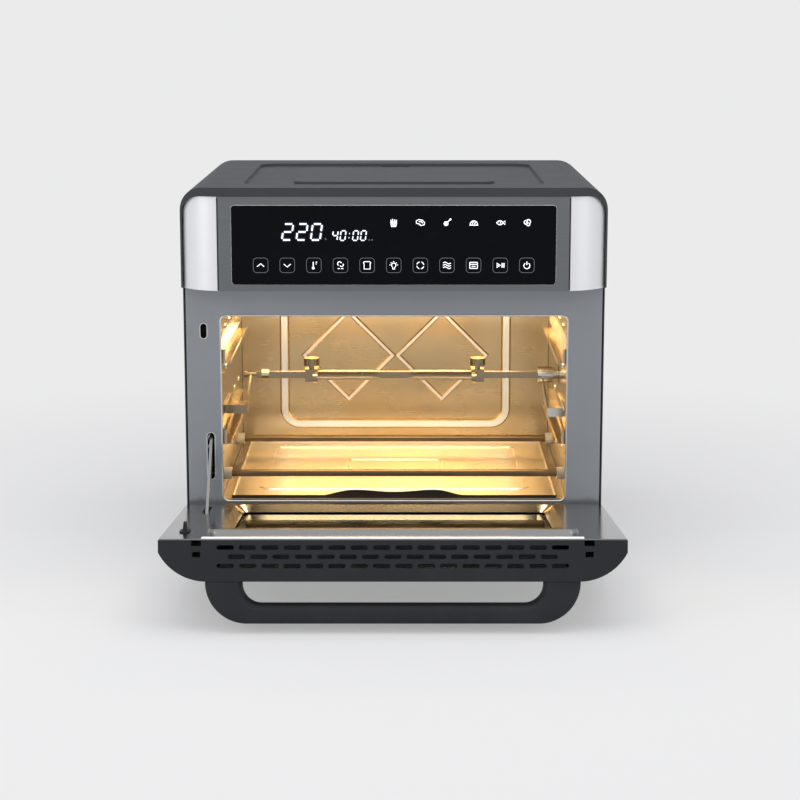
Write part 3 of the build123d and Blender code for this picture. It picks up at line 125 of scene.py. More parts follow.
class Finish(Net):
    """One procedural material on a Principled shader, in Object coordinates."""

    def __init__(self, name, colour, rough, metal=0.0, **sockets):
        self.data = bpy.data.materials.new(name)
        self.data.use_nodes = True
        self.data.diffuse_color = (*colour, 1)
        super().__init__(self.data.node_tree)
        self.shader = self.tree.nodes["Principled BSDF"]
        self.place = self.node("ShaderNodeTexCoord", output="Object")
        self.put("Base Color", (*colour, 1))
        self.put("Roughness", rough)
        self.put("Metallic", metal)
        for socket, value in sockets.items():
            self.put(socket.replace("_", " "), value)

    def put(self, socket, value):
        """Sets or links a socket of the shader."""
        if isinstance(value, Term):
            self.tree.links.new(value.socket, self.shader.inputs[socket])
        else:
            self.shader.inputs[socket].default_value = value

    def axis(self, letter):
        """Distance along one axis, in metres."""
        return self.node("ShaderNodeSeparateXYZ", values={0: self.place}, output=letter)

    def noise(self, scale, stretch=(1, 1, 1), detail=3.0, rough=0.55):
        """Noise of so many features per metre along each axis."""
        per_axis = [scale * share for share in stretch]
        scaled = self.node("ShaderNodeMapping", values={"Vector": self.place, "Scale": per_axis})
        values = {"Vector": scaled, "Scale": 1.0, "Detail": detail, "Roughness": rough}
        return self.node("ShaderNodeTexNoise", values=values, output="Fac")

    def cells(self, scale, feature="F1", output="Distance"):
        """Cells of so many per metre."""
        values = {"Vector": self.place, "Scale": scale}
        return self.node("ShaderNodeTexVoronoi", {"feature": feature}, values, output)

    def blend(self, factor, first, second):
        """Colour between first and second."""
        values = {0: factor}
        for socket, shade in ((6, first), (7, second)):
            values[socket] = shade if isinstance(shade, Term) else (*shade, 1)
        return self.node("ShaderNodeMix", {"data_type": "RGBA", "clamp_factor": True}, values, output=2)

    def window(self, value, low, high):
        """0 below low, 1 above high, and a smooth step between."""
        settings = {"interpolation_type": "SMOOTHSTEP"}
        return self.node("ShaderNodeMapRange", settings, {0: value, 1: low, 2: high})

    def relief(self, height, strength, depth=0.2 * mm):
        """Bumps the surface by a height."""
        values = {"Height": height, "Strength": strength, "Distance": depth}
        self.put("Normal", self.node("ShaderNodeBump", values=values))


def tint(colour, share):
    """The colour, lighter or darker by a share."""
    return tuple(part * share for part in colour)


def coated_sheet(name, colour, rough, metal=0.0, gloss=0.5):
    """Baked coating on sheet steel: fine orange peel, faint wear and handling marks."""
    finish = Finish(name, colour, rough, metal, Specular_IOR_Level=gloss)
    cloud = finish.noise(7, detail=4)
    smear = finish.noise(30, (1, 1, 0.3), 2)
    peel = finish.noise(1500, detail=1)
    finish.put("Base Color", finish.blend(cloud, tint(colour, 0.9), tint(colour, 1.12)))
    finish.put("Roughness", rough - 0.05 + 0.08 * smear + 0.05 * peel)
    finish.relief(peel, 0.16)
    return finish.data


# Heat colour of steel
straw = (0.5, 0.36, 0.2)


def brushed_steel(name, colour, rough, stretch, grain=0.12, amount=0.0, cut=0.1):
    """Rolled or brushed steel: fine lines one way, cloudy roughness and an amount of heat colour."""
    finish = Finish(name, colour, rough, 1.0)
    lines = finish.noise(1, stretch, 4, 0.7)
    cloud = finish.noise(14, detail=4)
    shade = finish.blend(lines, tint(colour, 0.84), tint(colour, 1.14))
    if amount:
        heat = finish.window(finish.noise(9, (1, 1, 2.5), 4), 0.42, 0.72)
        shade = finish.blend(heat * amount, shade, straw)
    finish.put("Base Color", shade)
    finish.put("Roughness", rough - 0.06 + grain * lines + 0.08 * cloud)
    finish.relief(lines, cut, 0.12 * mm)
    return finish.data


def moulded_plastic(name, colour, rough, grain=1900, gloss=0.1):
    """Spark-textured moulding: fine grain with paler rubbed patches."""
    finish = Finish(name, colour, rough, Specular_IOR_Level=gloss)
    grain_height = finish.noise(grain, detail=2)
    rubbed = finish.window(finish.noise(22, detail=5), 0.45, 0.75)
    finish.put("Base Color", finish.blend(rubbed * 0.5, tint(colour, 0.92), tint(colour, 1.25)))
    finish.put("Roughness", rough - 0.07 * rubbed + 0.1 * grain_height)
    finish.relief(grain_height, 0.22, 0.15 * mm)
    return finish.data


def circuit_laminate(name):
    """Board laminate: green mask, copper runs under it and bright pads."""
    mask = (0.012, 0.09, 0.03)
    finish = Finish(name, mask, 0.34)
    runs = finish.cells(260, "DISTANCE_TO_EDGE")
    pads = finish.cells(420)
    shade = finish.blend(finish.window(runs, 0.03, 0.06), (0.03, 0.2, 0.07), mask)
    finish.put("Base Color", finish.blend(finish.window(pads, 0.1, 0.16), (0.55, 0.56, 0.52), shade))
    finish.relief(finish.window(runs, 0.02, 0.08), 0.2, 0.1 * mm)
    return finish.data


def galvanised(name, colour, rough):
    """Zinc-coated sheet: crystals of slightly different greys."""
    finish = Finish(name, colour, rough, 0.9)
    crystal = finish.cells(170, "F1", "Color")
    grey = finish.node("ShaderNodeRGBToBW", values={0: crystal})
    finish.put("Base Color", finish.blend(grey, tint(colour, 0.78), tint(colour, 1.2)))
    finish.put("Roughness", rough - 0.08 + 0.18 * grey)
    finish.relief(finish.noise(700, detail=2), 0.08)
    return finish.data


def glaze(name, colour, rough):
    """Glazed ceramic or rubber: mottled colour and a soft skin."""
    finish = Finish(name, colour, rough)
    mottle = finish.noise(120, detail=4)
    finish.put("Base Color", finish.blend(mottle, tint(colour, 0.82), tint(colour, 1.1)))
    finish.put("Roughness", rough + 0.12 * mottle)
    finish.relief(finish.noise(900, detail=2), 0.12)
    return finish.data


def heat_glass(name, colour, rough, index=1.46):
    """Heat-proof glass: clear with a green cast, wiped marks on its surface."""
    finish = Finish(name, colour, rough, 0.0, Transmission_Weight=1.0, IOR=index)
    wipe = finish.window(finish.noise(26, (1, 3, 3), 4), 0.4, 0.8)
    finish.put("Roughness", rough + 0.06 * wipe)
    finish.put("Base Color", finish.blend(wipe, colour, tint(colour, 0.93)))
    return finish.data


def glowing(name, colour, strength):
    """Lit symbol behind the panel's glass."""
    finish = Finish(name, tint(colour, 0.6), 0.4, 0.0, Emission_Strength=strength)
    dots = finish.noise(2600, detail=1)
    finish.put("Emission Color", finish.blend(dots, tint(colour, 0.86), colour))
    return finish.data


def fascia_steel(name):
    """Brushed panel whose wrapped ends carry a painted highlight: a pale, mostly non-metal colour that stands
    in for the reflection on their curve.
    """
    flat = (0.15, 0.161, 0.17)
    bright = (0.72, 0.73, 0.748)
    finish = Finish(name, flat, 0.3, 1.0)
    # painted highlight: the wrapped ends are blended to a pale colour and made mostly non-metal, in place of
    # the reflection on their curve
    side = abs(finish.axis("X"))
    end = finish.window(side, 150.8 * mm, 151.4 * mm)
    lines = finish.noise(1, (9, 9, 2300), 4, 0.7)
    shade = finish.blend(lines, tint(flat, 0.85), tint(flat, 1.15))
    finish.put("Base Color", finish.blend(end, shade, bright))
    finish.put("Roughness", 0.36 + 0.1 * lines)
    finish.put("Metallic", 1 - 0.75 * end)
    finish.relief(lines, 0.08, 0.1 * mm)
    return finish.data


def panel_glass(name):
    """Back-painted touch glass with faint finger marks."""
    dark = (0.002, 0.0026, 0.0045)
    finish = Finish(name, dark, 0.06, 0.0, Specular_IOR_Level=0.06)
    marks = finish.window(finish.noise(60, detail=5), 0.5, 0.78)
    finish.put("Roughness", 0.05 + 0.1 * marks)
    finish.put("Base Color", finish.blend(marks, dark, tint(dark, 1.5)))
    return finish.data


def heater_sheath(name):
    """Heating rod: oxidised bronze sheath, darker along its hot length."""
    bronze = (0.13, 0.088, 0.05)
    finish = Finish(name, bronze, 0.3, 0.95)
    cloud = finish.noise(45, (0.4, 1, 1), 4)
    hot = 1 - finish.window(abs(finish.axis("X")), 118 * mm, 142 * mm)
    shade = finish.blend(cloud, tint(bronze, 0.6), tint(bronze, 1.5))
    finish.put("Base Color", finish.blend(hot * 0.6, shade, (0.07, 0.05, 0.036)))
    finish.put("Roughness", 0.26 + 0.16 * cloud)
    finish.relief(finish.noise(1200, detail=2), 0.1)
    return finish.data


def ribbed_steel(name, colour):
    """Rear sheet of the cavity: satin ground with heat clouds, a painted whitish highlight towards the top,
    and painted highlights on the crests of its ribs.
    """
    finish = Finish(name, colour, 0.24, 1.0)
    lines = finish.noise(1, (26, 9, 2600), 3, 0.6)
    heat = finish.window(finish.noise(7, (1, 1, 1.6), 4), 0.4, 0.75)
    ground = finish.blend(lines, tint(colour, 0.97), tint(colour, 1.03))
    ground = finish.blend(heat * 0.45, ground, (0.46, 0.31, 0.15))
    # painted highlight: the top of the sheet is blended towards a pale bluish white, standing in for light
    # falling there
    high = finish.window(finish.axis("Z"), 185 * mm, 230 * mm)
    ground = finish.blend(high * 0.75, ground, (0.86, 0.9, 0.95))
    # painted highlight: the ribs' crests, which stand forward of the sheet, are blended to a pale warm white
    rib_crest_highlight = 1 - finish.window(finish.axis("Y"), back_y - 2.4 * mm, back_y - 1.2 * mm)
    finish.put("Base Color", finish.blend(rib_crest_highlight, ground, (0.93, 0.9, 0.82)))
    finish.put("Roughness", 0.2 + 0.05 * lines + 0.08 * heat + 0.06 * rib_crest_highlight)
    finish.relief(lines, 0.015, 0.1 * mm)
    return finish.data


def tray_steel(name, colour):
    """Tray sheet, with painted shade along the upturned edge at its front."""
    finish = Finish(name, colour, 0.3, 1.0)
    lines = finish.noise(1, (9, 1300, 9), 4, 0.7)
    heat = finish.window(finish.noise(9, detail=4), 0.42, 0.72)
    shade = finish.blend(lines, tint(colour, 0.86), tint(colour, 1.12))
    shade = finish.blend(heat * 0.3, shade, (0.62, 0.47, 0.28))
    # painted shade: the upturned front edge is blended to a near-black brown, standing in for the shade it
    # lies in
    front_shade = finish.window(finish.axis("Y"), flange_y + 4.6 * mm, flange_y + 5.4 * mm)
    finish.put("Base Color", finish.blend(front_shade, (0.055, 0.045, 0.038), shade))
    finish.put("Roughness", 0.24 + 0.1 * lines + 0.1 * heat)
    finish.relief(lines, 0.1, 0.12 * mm)
    return finish.data


paints = {
    "shell": coated_sheet("shell_coat", (0.05, 0.054, 0.06), 0.52, gloss=0.07),
    "frame": coated_sheet("frame_enamel", (0.262, 0.28, 0.302), 0.3, 0.55),
    "fascia": fascia_steel("fascia_steel"),
    "glass": panel_glass("panel_glass"),
    "wall": brushed_steel("wall_steel", (0.46, 0.4, 0.31), 0.18, (30, 9, 1400), 0.08, amount=0.3),
    "back": ribbed_steel("back_steel", (0.66, 0.5, 0.29)),
    "tray": tray_steel("tray_steel", (0.8, 0.75, 0.66)),
    "door_steel": brushed_steel("door_steel", (0.24, 0.24, 0.24), 0.17, (9, 1500, 1500), 0.05, 0.0, 0.02),
    "bright": brushed_steel("bright_steel", (0.56, 0.55, 0.52), 0.2, (60, 60, 60), 0.1),
    "spit": brushed_steel("spit_steel", (0.3, 0.235, 0.155), 0.22, (60, 60, 60), 0.1),
    # painted highlight: near-white steel for the strips on the door panel's rolled edge, which is really the
    # panel's own sheet
    "bead_highlight": brushed_steel("bead_highlight_steel", (0.93, 0.93, 0.93), 0.3, (9, 60, 60), 0.06),
    "link": brushed_steel("link_steel", (0.16, 0.165, 0.17), 0.3, (60, 60, 60), 0.1),
    "sheath": heater_sheath("heater_sheath"),
    "moulding": moulded_plastic("door_moulding", (0.0255, 0.027, 0.0305), 0.5),
    "housing": moulded_plastic("housing_plastic", (0.012, 0.012, 0.013), 0.55, 1500),
    "rubber": glaze("foot_rubber", (0.018, 0.018, 0.019), 0.7),
    "ceramic": glaze("bush_ceramic", (0.4, 0.37, 0.32), 0.22),
    "zinc": galvanised("zinc_sheet", (0.45, 0.46, 0.47), 0.36),
    "fan": brushed_steel("fan_aluminium", (0.72, 0.72, 0.73), 0.33, (80, 80, 9), 0.14),
    "gear": moulded_plastic("gear_case", (0.17, 0.17, 0.175), 0.5),
    "board": circuit_laminate("board_laminate"),
    "display": moulded_plastic("display_case", (0.012, 0.012, 0.014), 0.3, 900),
    "inner_glass": heat_glass("inner_glass", (0.22, 0.26, 0.25), 0.02, 1.09),
    "outer_glass": heat_glass("outer_glass", (0.05, 0.058, 0.056), 0.02, 1.25),
    "lamp_glass": heat_glass("lamp_glass", (0.95, 0.93, 0.88), 0.05),
    "lit": glowing("lit_symbol", (0.93, 0.96, 1.0), 1.5),
    "halo": glowing("symbol_halo", (0.035, 0.05, 0.085), 0.9),
    "dim": glowing("key_outline", (0.12, 0.128, 0.14), 0.8),
    "filament": glowing("lamp_filament", (1.0, 0.78, 0.42), 6.0),
}

worn_by = {
    "shell": ["outer_shell", "back_cover"],
    "frame": ["front_frame"],
    "fascia": ["control_fascia"],
    "glass": ["touch_glass"],
    "wall": ["cavity_left_wall", "cavity_right_wall", "cavity_floor", "cavity_ceiling"],
    "back": ["cavity_back_wall"],
    "tray": ["crumb_tray"],
    "door_steel": ["door_inner_panel"],
    "bright": ["drive_socket", "drive_ramp", "temperature_probe", "fan_shaft", "heater_guard"],
    "spit": [
        "spit_hook", "spit_rod", "spit_fork_left", "spit_fork_right", "thumb_screw_left",
        "thumb_screw_right",
    ],
    "link": ["link_arm"],
    "sheath": ["lower_heater_front", "lower_heater_rear", "upper_heater"],
    "moulding": ["door_frame", "door_handle", "door_vent_cap", "door_switch_tab"],
    "housing": ["control_housing", "cable_gland", "door_switch"],
    "rubber": ["foot_front_left", "foot_front_right", "foot_rear_left", "foot_rear_right"],
    "ceramic": ["heater_bushes"],
    "zinc": [
        "base_pan", "hinge_bracket_left", "hinge_bracket_right", "hinge_plate_left",
        "hinge_plate_right", "spring_anchor", "balance_spring", "fan_motor", "lamp_holder",
    ],
    "fan": ["fan_impeller", "cooling_impeller"],
    "gear": ["rotisserie_motor"],
    "board": ["control_board", "power_board"],
    "display": ["display_module"],
    "inner_glass": ["door_inner_glass"],
    "outer_glass": ["door_outer_glass"],
    "lamp_glass": ["lamp_lens"],
    "filament": ["lamp_bulb"],
}
for finish_name, nodes in worn_by.items():
    for node in nodes:
        for material_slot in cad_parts[node].material_slots:
            material_slot.material = paints[finish_name]


# Ways of making a piece
def only(piece):
    """Leaves one object selected and active."""
    bpy.ops.object.select_all(action="DESELECT")
    piece.select_set(True)
    bpy.context.view_layer.objects.active = piece


def settle(piece, finish_name, body):
    """Puts the piece's place in its mesh, dresses it and hangs it on its body."""
    only(piece)
    bpy.ops.object.transform_apply(location=True, rotation=True, scale=True)
    piece.data.materials.clear()
    piece.data.materials.append(paints[finish_name])
    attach(piece, body)
    return piece


def refine(piece, kind, **settings):
    """Adds one modifier and applies it."""
    only(piece)
    modifier = piece.modifiers.new(kind.lower(), kind)
    for setting, value in settings.items():
        setattr(modifier, setting, value)
    bpy.ops.object.modifier_apply(modifier=modifier.name)


def smooth(piece, angle=35):
    """Shades the piece smooth, but for edges sharper than the angle in degrees."""
    only(piece)
    bpy.ops.object.shade_smooth_by_angle(angle=radians(angle))


def rounded_copy(node, name, width, finish_name, body):
    """The CAD node's shape with its hard edges rounded, which then stands for the node."""
    hard = radians(22)
    weld = 0.02 * mm
    piece = bpy.data.objects.new(name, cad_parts[node].data.copy())
    bpy.context.collection.objects.link(piece)
    only(piece)
    bpy.ops.object.mode_set(mode="EDIT")
    bpy.ops.mesh.select_all(action="SELECT")
    bpy.ops.mesh.remove_doubles(threshold=weld)
    bpy.ops.mesh.dissolve_limited(angle_limit=radians(1.5))
    bpy.ops.object.mode_set(mode="OBJECT")
    refine(piece, "BEVEL", width=width, segments=4, limit_method="ANGLE", angle_limit=hard)
    smooth(piece, 40)
    settle(piece, finish_name, body)
    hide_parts(node)
    return piece


def bar(name, low, high, edge, finish_name, body):
    """A small block with rounded edges between two corners."""
    centre = [(start + end) / 2 for start, end in zip(low, high)]
    bpy.ops.object.select_all(action="DESELECT")
    bpy.ops.mesh.primitive_cube_add(size=1, location=centre)
    piece = bpy.context.object
    piece.name = name
    piece.scale = [end - start for start, end in zip(low, high)]
    bpy.ops.object.transform_apply(location=False, rotation=False, scale=True)
    refine(piece, "BEVEL", width=edge, segments=2, limit_method="NONE")
    smooth(piece)
    return settle(piece, finish_name, body)


def line_work(name, strokes, width, depth, to_place, finish_name, body, sides=2):
    """Flat raised lines; each stroke is a list of points, and to_place puts its plane in the room."""
    curve = bpy.data.curves.new(name, "CURVE")
    curve.dimensions = "3D"
    curve.bevel_depth = width / 2
    curve.bevel_resolution = sides
    curve.use_fill_caps = True
    for points, closed in strokes:
        spline = curve.splines.new("POLY")
        spline.points.add(len(points) - 1)
        for point, (across, up) in zip(spline.points, points):
            point.co = (across, 0, up, 1)
        spline.use_cyclic_u = closed
    piece = bpy.data.objects.new(name, curve)
    bpy.context.collection.objects.link(piece)
    only(piece)
    bpy.ops.object.convert(target="MESH")
    piece = bpy.context.object
    for corner in piece.data.vertices:
        across, proud, up = corner.co
        corner.co = to_place(across, proud * depth / (width / 2), up)
    smooth(piece, 60)
    return settle(piece, finish_name, body)


def on_panel(across, proud, up):
    """A point on the touch glass."""
    return Vector((across, glass_y + proud, up))


def on_flange(across, proud, up):
    """A point on the flange round the cavity's mouth."""
    return Vector((across, flange_y + proud, up))


def on_door(across, along, down):
    """A point of the open door: along runs from the hinge, down from its inner face."""
    back = flange_y - hinge_back - along * cos(door_tilt) - down * sin(door_tilt)
    return Vector((across, back, hinge_up + along * sin(door_tilt) - down * cos(door_tilt)))


def arc(centre, radius, start, end, steps=8):
    """Points of an arc, in degrees from the right, anticlockwise."""
    turns = [radians(start + (end - start) * step / steps) for step in range(steps + 1)]
    return [(centre[0] + radius * cos(turn), centre[1] + radius * sin(turn)) for turn in turns]


def round_box(width, height, radius, centre=(0, 0), steps=4):
    """Points of a rounded rectangle."""
    points = []
    for quarter, (right, top) in enumerate(((1, 1), (-1, 1), (-1, -1), (1, -1))):
        corner = (centre[0] + right * (width / 2 - radius), centre[1] + top * (height / 2 - radius))
        points += arc(corner, radius, 90 * quarter, 90 * quarter + 90, steps)
    return points


def moved(strokes, across, up):
    """Strokes drawn in millimetres round their own centre, put at a place on the panel."""
    return [([(across + x * mm, up + y * mm) for x, y in points], closed) for points, closed in strokes]


# Lit digits: slanted bars with small gaps at the corners, and a colon of two dots
bars_of = {"0": "abcdef", "2": "abged", "4": "fgbc"}
lean = 0.14
dot_rise = 0.22
dot_reach = 0.3


def digit(sign, width, height, gap):
    """Strokes of one slanted seven-bar digit."""
    right, top = width / 2, height / 2
    ends = {
        "a": ((-right, top), (right, top)), "b": ((right, top), (right, 0)),
        "c": ((right, 0), (right, -top)), "d": ((-right, -top), (right, -top)),
        "e": ((-right, 0), (-right, -top)), "f": ((-right, top), (-right, 0)),
        "g": ((-right, 0), (right, 0)),
    }
    strokes = []
    for letter in bars_of[sign]:
        first, last = (Vector(end) for end in ends[letter])
        run = (last - first).normalized() * gap
        points = [(point.x + lean * point.y, point.y) for point in (first + run, last - run)]
        strokes.append((points, False))
    return strokes


def number(signs, start, pitch, up, width, height, gap):
    """Strokes of a row of digits and colons, from the left."""
    strokes = []
    across = start
    for sign in signs:
        if sign == ":":
            for rise in (-dot_rise * height, dot_rise * height):
                middle = lean * rise
                spot = [([(middle - dot_reach, rise), (middle + dot_reach, rise)], False)]
                strokes += moved(spot, across - 0.2 * pitch, up)
            across += 0.6 * pitch
        else:
            strokes += moved(digit(sign, width, height, gap), across, up)
            across += pitch
    return strokes


large = number(
    "220", start=-90.6 * mm, pitch=12.3 * mm, up=299.3 * mm, width=7.9, height=13.6, gap=0.9
)
small = number("40:00", start=-50.0 * mm, pitch=6.7 * mm, up=296.2 * mm, width=4.2, height=8.2, gap=0.6)
degree_mark = moved([([(0, 0.8), (1.2, -0.6)], False)], -58.8 * mm, 293.2 * mm)
minute_mark = moved([([(0, 0), (1.3, 0)], False), ([(2.3, 0), (3.8, 0)], False)], -21.5 * mm, 292.4 * mm)
for name, strokes, width, depth, finish_name in (
    ("display_temperature", large, 1.35, 0.12, "lit"),
    ("display_time", small, 0.9, 0.12, "lit"),
    ("display_marks", degree_mark + minute_mark, 0.8, 0.1, "dim"),
    ("display_halo", large, 2.9, 0.05, "halo"),
    ("display_time_halo", small, 1.9, 0.05, "halo"),
):
    line_work(name, strokes, width * mm, depth * mm, on_panel, finish_name, "cabinet")

# Touch keys: a thin rounded outline and a lit sign each. The signs are, from the left, up, down,
# thermometer, swirl, pot, lamp, broken ring, waves, oven, start and pause, and power
key_pitch = 22.8 * mm
key_z = 270.6 * mm
key_size = 12.6
key_corner = 2.8
outline = [(round_box(key_size, key_size, key_corner), True)]
pot = [(-2.6, -3.2), (-2.6, 1.4), (-3.2, 2.4), (-2.4, 3.2), (2.4, 3.2), (3.2, 2.4), (2.6, 1.4), (2.6, -3.2)]
zigzag = [(-3.4, 0), (-1.7, 0.9), (0, 0), (1.7, -0.9), (3.4, 0)]
key_signs = [
    [([(-3.0, -1.1), (0, 1.4), (3.0, -1.1)], False)],
    [([(-3.0, 1.1), (0, -1.4), (3.0, 1.1)], False)],
    [
        ([(-0.5, -1.2), (-0.5, 3.0)], False), (arc((-0.5, -2.3), 0.9, 0, 360), True),
        ([(1.6, 2.8), (2.8, 2.8)], False), ([(1.6, 1.2), (2.4, 1.2)], False),
    ],
    [
        (arc((-0.8, 1.4), 1.7, 20, 240), False), (arc((1.0, 0.4), 1.5, 200, 400), False),
        ([(-2.4, -2.8), (-0.6, -2.8)], False), ([(0.6, -2.8), (2.4, -2.8)], False),
    ],
    [(pot, True)],
    [
        (arc((0, 0.2), 1.9, -50, 230), False),
        ([(-0.8, -1.6), (-0.8, -3.2), (0.8, -3.2), (0.8, -1.6)], False),
        ([(-3.6, 0.4), (-2.9, 0.4)], False), ([(2.9, 0.4), (3.6, 0.4)], False), ([(0, 3.0), (0, 3.7)], False),
        ([(-2.5, 2.4), (-2.0, 1.9)], False), ([(2.5, 2.4), (2.0, 1.9)], False),
    ],
    [(arc((0, 0), 3.0, start, start + 62, 5), False) for start in (10, 100, 190, 280)],
    [([(x, y + rise) for x, y in zigzag], False) for rise in (-2.0, 0, 2.0)],
    [
        (round_box(6.6, 5.2, 0.6), True), ([(-3.3, 0.9), (3.3, 0.9)], False),
        ([(-1.6, -0.9), (1.6, -0.9)], False),
    ],
    [
        ([(-2.8, -2.0), (-2.8, 2.0), (0.2, 0)], True), ([(-2.0, -0.6), (-2.0, 0.6), (-1.2, 0)], True),
        ([(1.6, -2.0), (1.6, 2.0)], False), ([(3.2, -2.0), (3.2, 2.0)], False),
    ],
    [(arc((0, -0.3), 2.6, 125, 415, 12), False), ([(0, 0.4), (0, 3.2)], False)],
]
outlines = []
signs = []
for count, sign in enumerate(key_signs):
    across = (count - (len(key_signs) - 1) / 2) * key_pitch
    outlines += moved(outline, across, key_z)
    signs += moved(sign, across, key_z)
line_work("key_outlines", outlines, 0.42 * mm, 0.08 * mm, on_panel, "dim", "cabinet", 1)
line_work("key_signs", signs, 0.72 * mm, 0.1 * mm, on_panel, "lit", "cabinet", 1)

# Programme symbols: fries, cutlet, drumstick, loaf, fish and bun
symbol_z = 307.2 * mm
cutlet = [
    (-3.6, 1.4), (-1.6, 2.8), (1.6, 2.2), (3.6, 0.2), (3.2, -1.8), (0.6, -2.4), (-1.4, -0.8), (-3.4, -0.6),
]
fish = [
    (-3.6, 0), (-1.6, 1.6), (0.6, 1.6), (2.2, 0.2), (3.8, 1.6), (3.8, -1.6), (2.2, -0.2), (0.6, -1.6),
    (-1.6, -1.6),
]
programme_signs = [
    [
        ([(-2.6, 0.4), (2.6, 0.4), (1.9, -3.2), (-1.9, -3.2)], True), ([(-1.8, -0.8), (1.8, -0.8)], False),
        ([(-1.4, -2.0), (1.4, -2.0)], False), ([(-2.0, 0.4), (-2.4, 2.6)], False),
        ([(-0.7, 0.4), (-0.9, 3.2)], False), ([(0.7, 0.4), (0.9, 2.8)], False),
        ([(2.0, 0.4), (2.4, 2.4)], False),
    ],
    [(cutlet, True), ([(-1.4, 1.0), (0.8, 0.9), (2.0, -0.4)], False)],
    [
        (arc((-0.9, -0.7), 1.7, 0, 360), True), (arc((-0.9, -0.7), 0.7, 0, 360), True),
        ([(0.4, 0.6), (2.4, 2.6)], False), (arc((2.8, 2.9), 0.5, 0, 360), True),
    ],
    [
        (arc((0, -1.6), 3.2, 0, 180), False), ([(-3.6, -2.0), (3.6, -2.0)], False),
        ([(-1.4, -1.0), (-0.6, 0.6)], False), ([(0.6, -1.0), (1.4, 0.6)], False),
    ],
    [(fish, True), ([(-2.2, 0.2), (-1.8, 0.2)], False), ([(0, -0.8), (0, 0.8)], False)],
    [
        (arc((-1.0, 0.4), 1.7, 40, 300), False), (arc((1.0, 0.9), 1.8, -60, 170), False),
        (arc((0.8, -1.3), 1.3, 180, 380), False), (arc((0, 0), 0.7, 0, 360), True),
    ],
]
symbols = []
for count, sign in enumerate(programme_signs):
    symbols += moved(sign, count * key_pitch, symbol_z)
line_work("programme_signs", symbols, 0.8 * mm, 0.1 * mm, on_panel, "lit", "cabinet", 1)

# Thin arris round the touch glass
glass_size = glass_high - glass_low
glass_middle = (glass_low + glass_high) / 2
glass_corner = 3 * mm
arris_back = 0.5 * mm
arris = [(round_box(glass_size.x, glass_size.z, glass_corner, (glass_middle.x, glass_middle.z)), True)]
line_work(
    "glass_arris", arris, 0.7 * mm, 0.35 * mm,
    lambda across, proud, up: Vector((across, glass_y + arris_back + proud, up)),
    "bright", "cabinet", 1,
)

# Seams where the fascia's painted-highlight ends begin
seam_inner = 150.4 * mm
seam_outer = 151.3 * mm
seam_proud = 0.08 * mm
seam_bottom = 249.0 * mm
seam_top = 328.6 * mm
for side, hand in ((-1, "left"), (1, "right")):
    edges = sorted((side * seam_inner, side * seam_outer))
    bar(
        f"fascia_seam_{hand}", (edges[0], fascia_y - seam_proud, seam_bottom),
        (edges[1], fascia_y + 0.5 * mm, seam_top), 0.1 * mm, "housing", "cabinet",
    )

# Turned edges of the cavity's mouth and of the two slots beside it
mouth_width = 305.6 * mm
mouth_height = 167.6 * mm
mouth_corner = 5.2 * mm
mouth_z = 137.5 * mm
mouth = [(round_box(mouth_width, mouth_height, mouth_corner, (0, mouth_z)), True)]
line_work("mouth_edge", mouth, 1.5 * mm, 0.4 * mm, on_flange, "bright", "cabinet", 2)
rim_width = 0.9
rim_proud = 0.08 * mm
slots = [
    {"name": "link_slot_edge", "across": -162.7, "low": 74, "high": 116, "width": 6.4},
    {"name": "switch_slot_edge", "across": -167.7, "low": 201.2, "high": 214.2, "width": 5.6},
]
for place in slots:
    width = place["width"] + rim_width
    height = place["high"] - place["low"] + rim_width
    middle = (place["across"] * mm, (place["low"] + place["high"]) / 2 * mm)
    rim = [(round_box(width * mm, height * mm, (width / 2 - 0.01) * mm, middle, 6), True)]
    line_work(
        place["name"], rim, rim_width * mm, rim_proud, on_flange, "bright", "cabinet", 1
    )


def dome(name, centre, radius, height, facing, finish_name, body):
    """Rivet or screw head: a low dome standing on a surface that faces along an axis."""
    bpy.ops.object.select_all(action="DESELECT")
    bpy.ops.mesh.primitive_uv_sphere_add(segments=20, ring_count=10, radius=radius, location=centre)
    piece = bpy.context.object
    piece.name = name
    bpy.ops.object.mode_set(mode="EDIT")
    bpy.ops.mesh.select_all(action="SELECT")
    bpy.ops.mesh.bisect(plane_co=centre, plane_no=facing, clear_inner=True, use_fill=True)
    bpy.ops.object.mode_set(mode="OBJECT")
    flat = height / radius
    piece.scale = [flat if part else 1 for part in facing]
    smooth(piece, 50)
    return settle(piece, finish_name, body)


# Rivets on the cavity's side walls, but for the one place where the spit's ramp is
rivet_radius = 3.0 * mm
rivet_rise = 1.3 * mm
rivet_places = [(back, up) for back in (22, 66, 110, 154, 198) for up in (92, 128, 165, 202)]
ramp_place = (110, 128)
for side, hand in ((-1, "left"), (1, "right")):
    for count, (back, up) in enumerate(rivet_places):
        if (back, up) == ramp_place:
            continue
        dome(
            f"wall_rivet_{hand}_{count}", (side * cavity_half, flange_y + back * mm, up * mm),
            rivet_radius, rivet_rise, (-side, 0, 0), "bright", "cabinet",
        )

# Rolled edge of the door's inner panel: two near-white strips along its crest, painted highlights where the
# roll catches the light
bead_half = 151 * mm
bead_down = -8.2 * mm
beads = [([(side * bead_half, along * mm) for side in (-1, 1)], False) for along in (194.6, 198.4)]
line_work(
    "panel_bead_highlights", beads, 1.5 * mm, 0.5 * mm,
    lambda across, proud, along: on_door(across, along, bead_down - proud), "bead_highlight", "door", 2,
)

# Door handle with its hard edges rounded
rounded_copy("door_handle", "door_grip", 1.6 * mm, "moulding", "door")

# Dark vent at the back of the pressed top
vent_half = 14 * mm
vent_back = 46 * mm
vent_depth = 7 * mm
vent_proud = 0.4 * mm
bar(
    "top_vent", (-vent_half, shell_high.y - vent_back - vent_depth, press_floor - vent_proud),
    (vent_half, shell_high.y - vent_back, press_floor + vent_proud), 0.35 * mm,
    "housing", "cabinet",
)

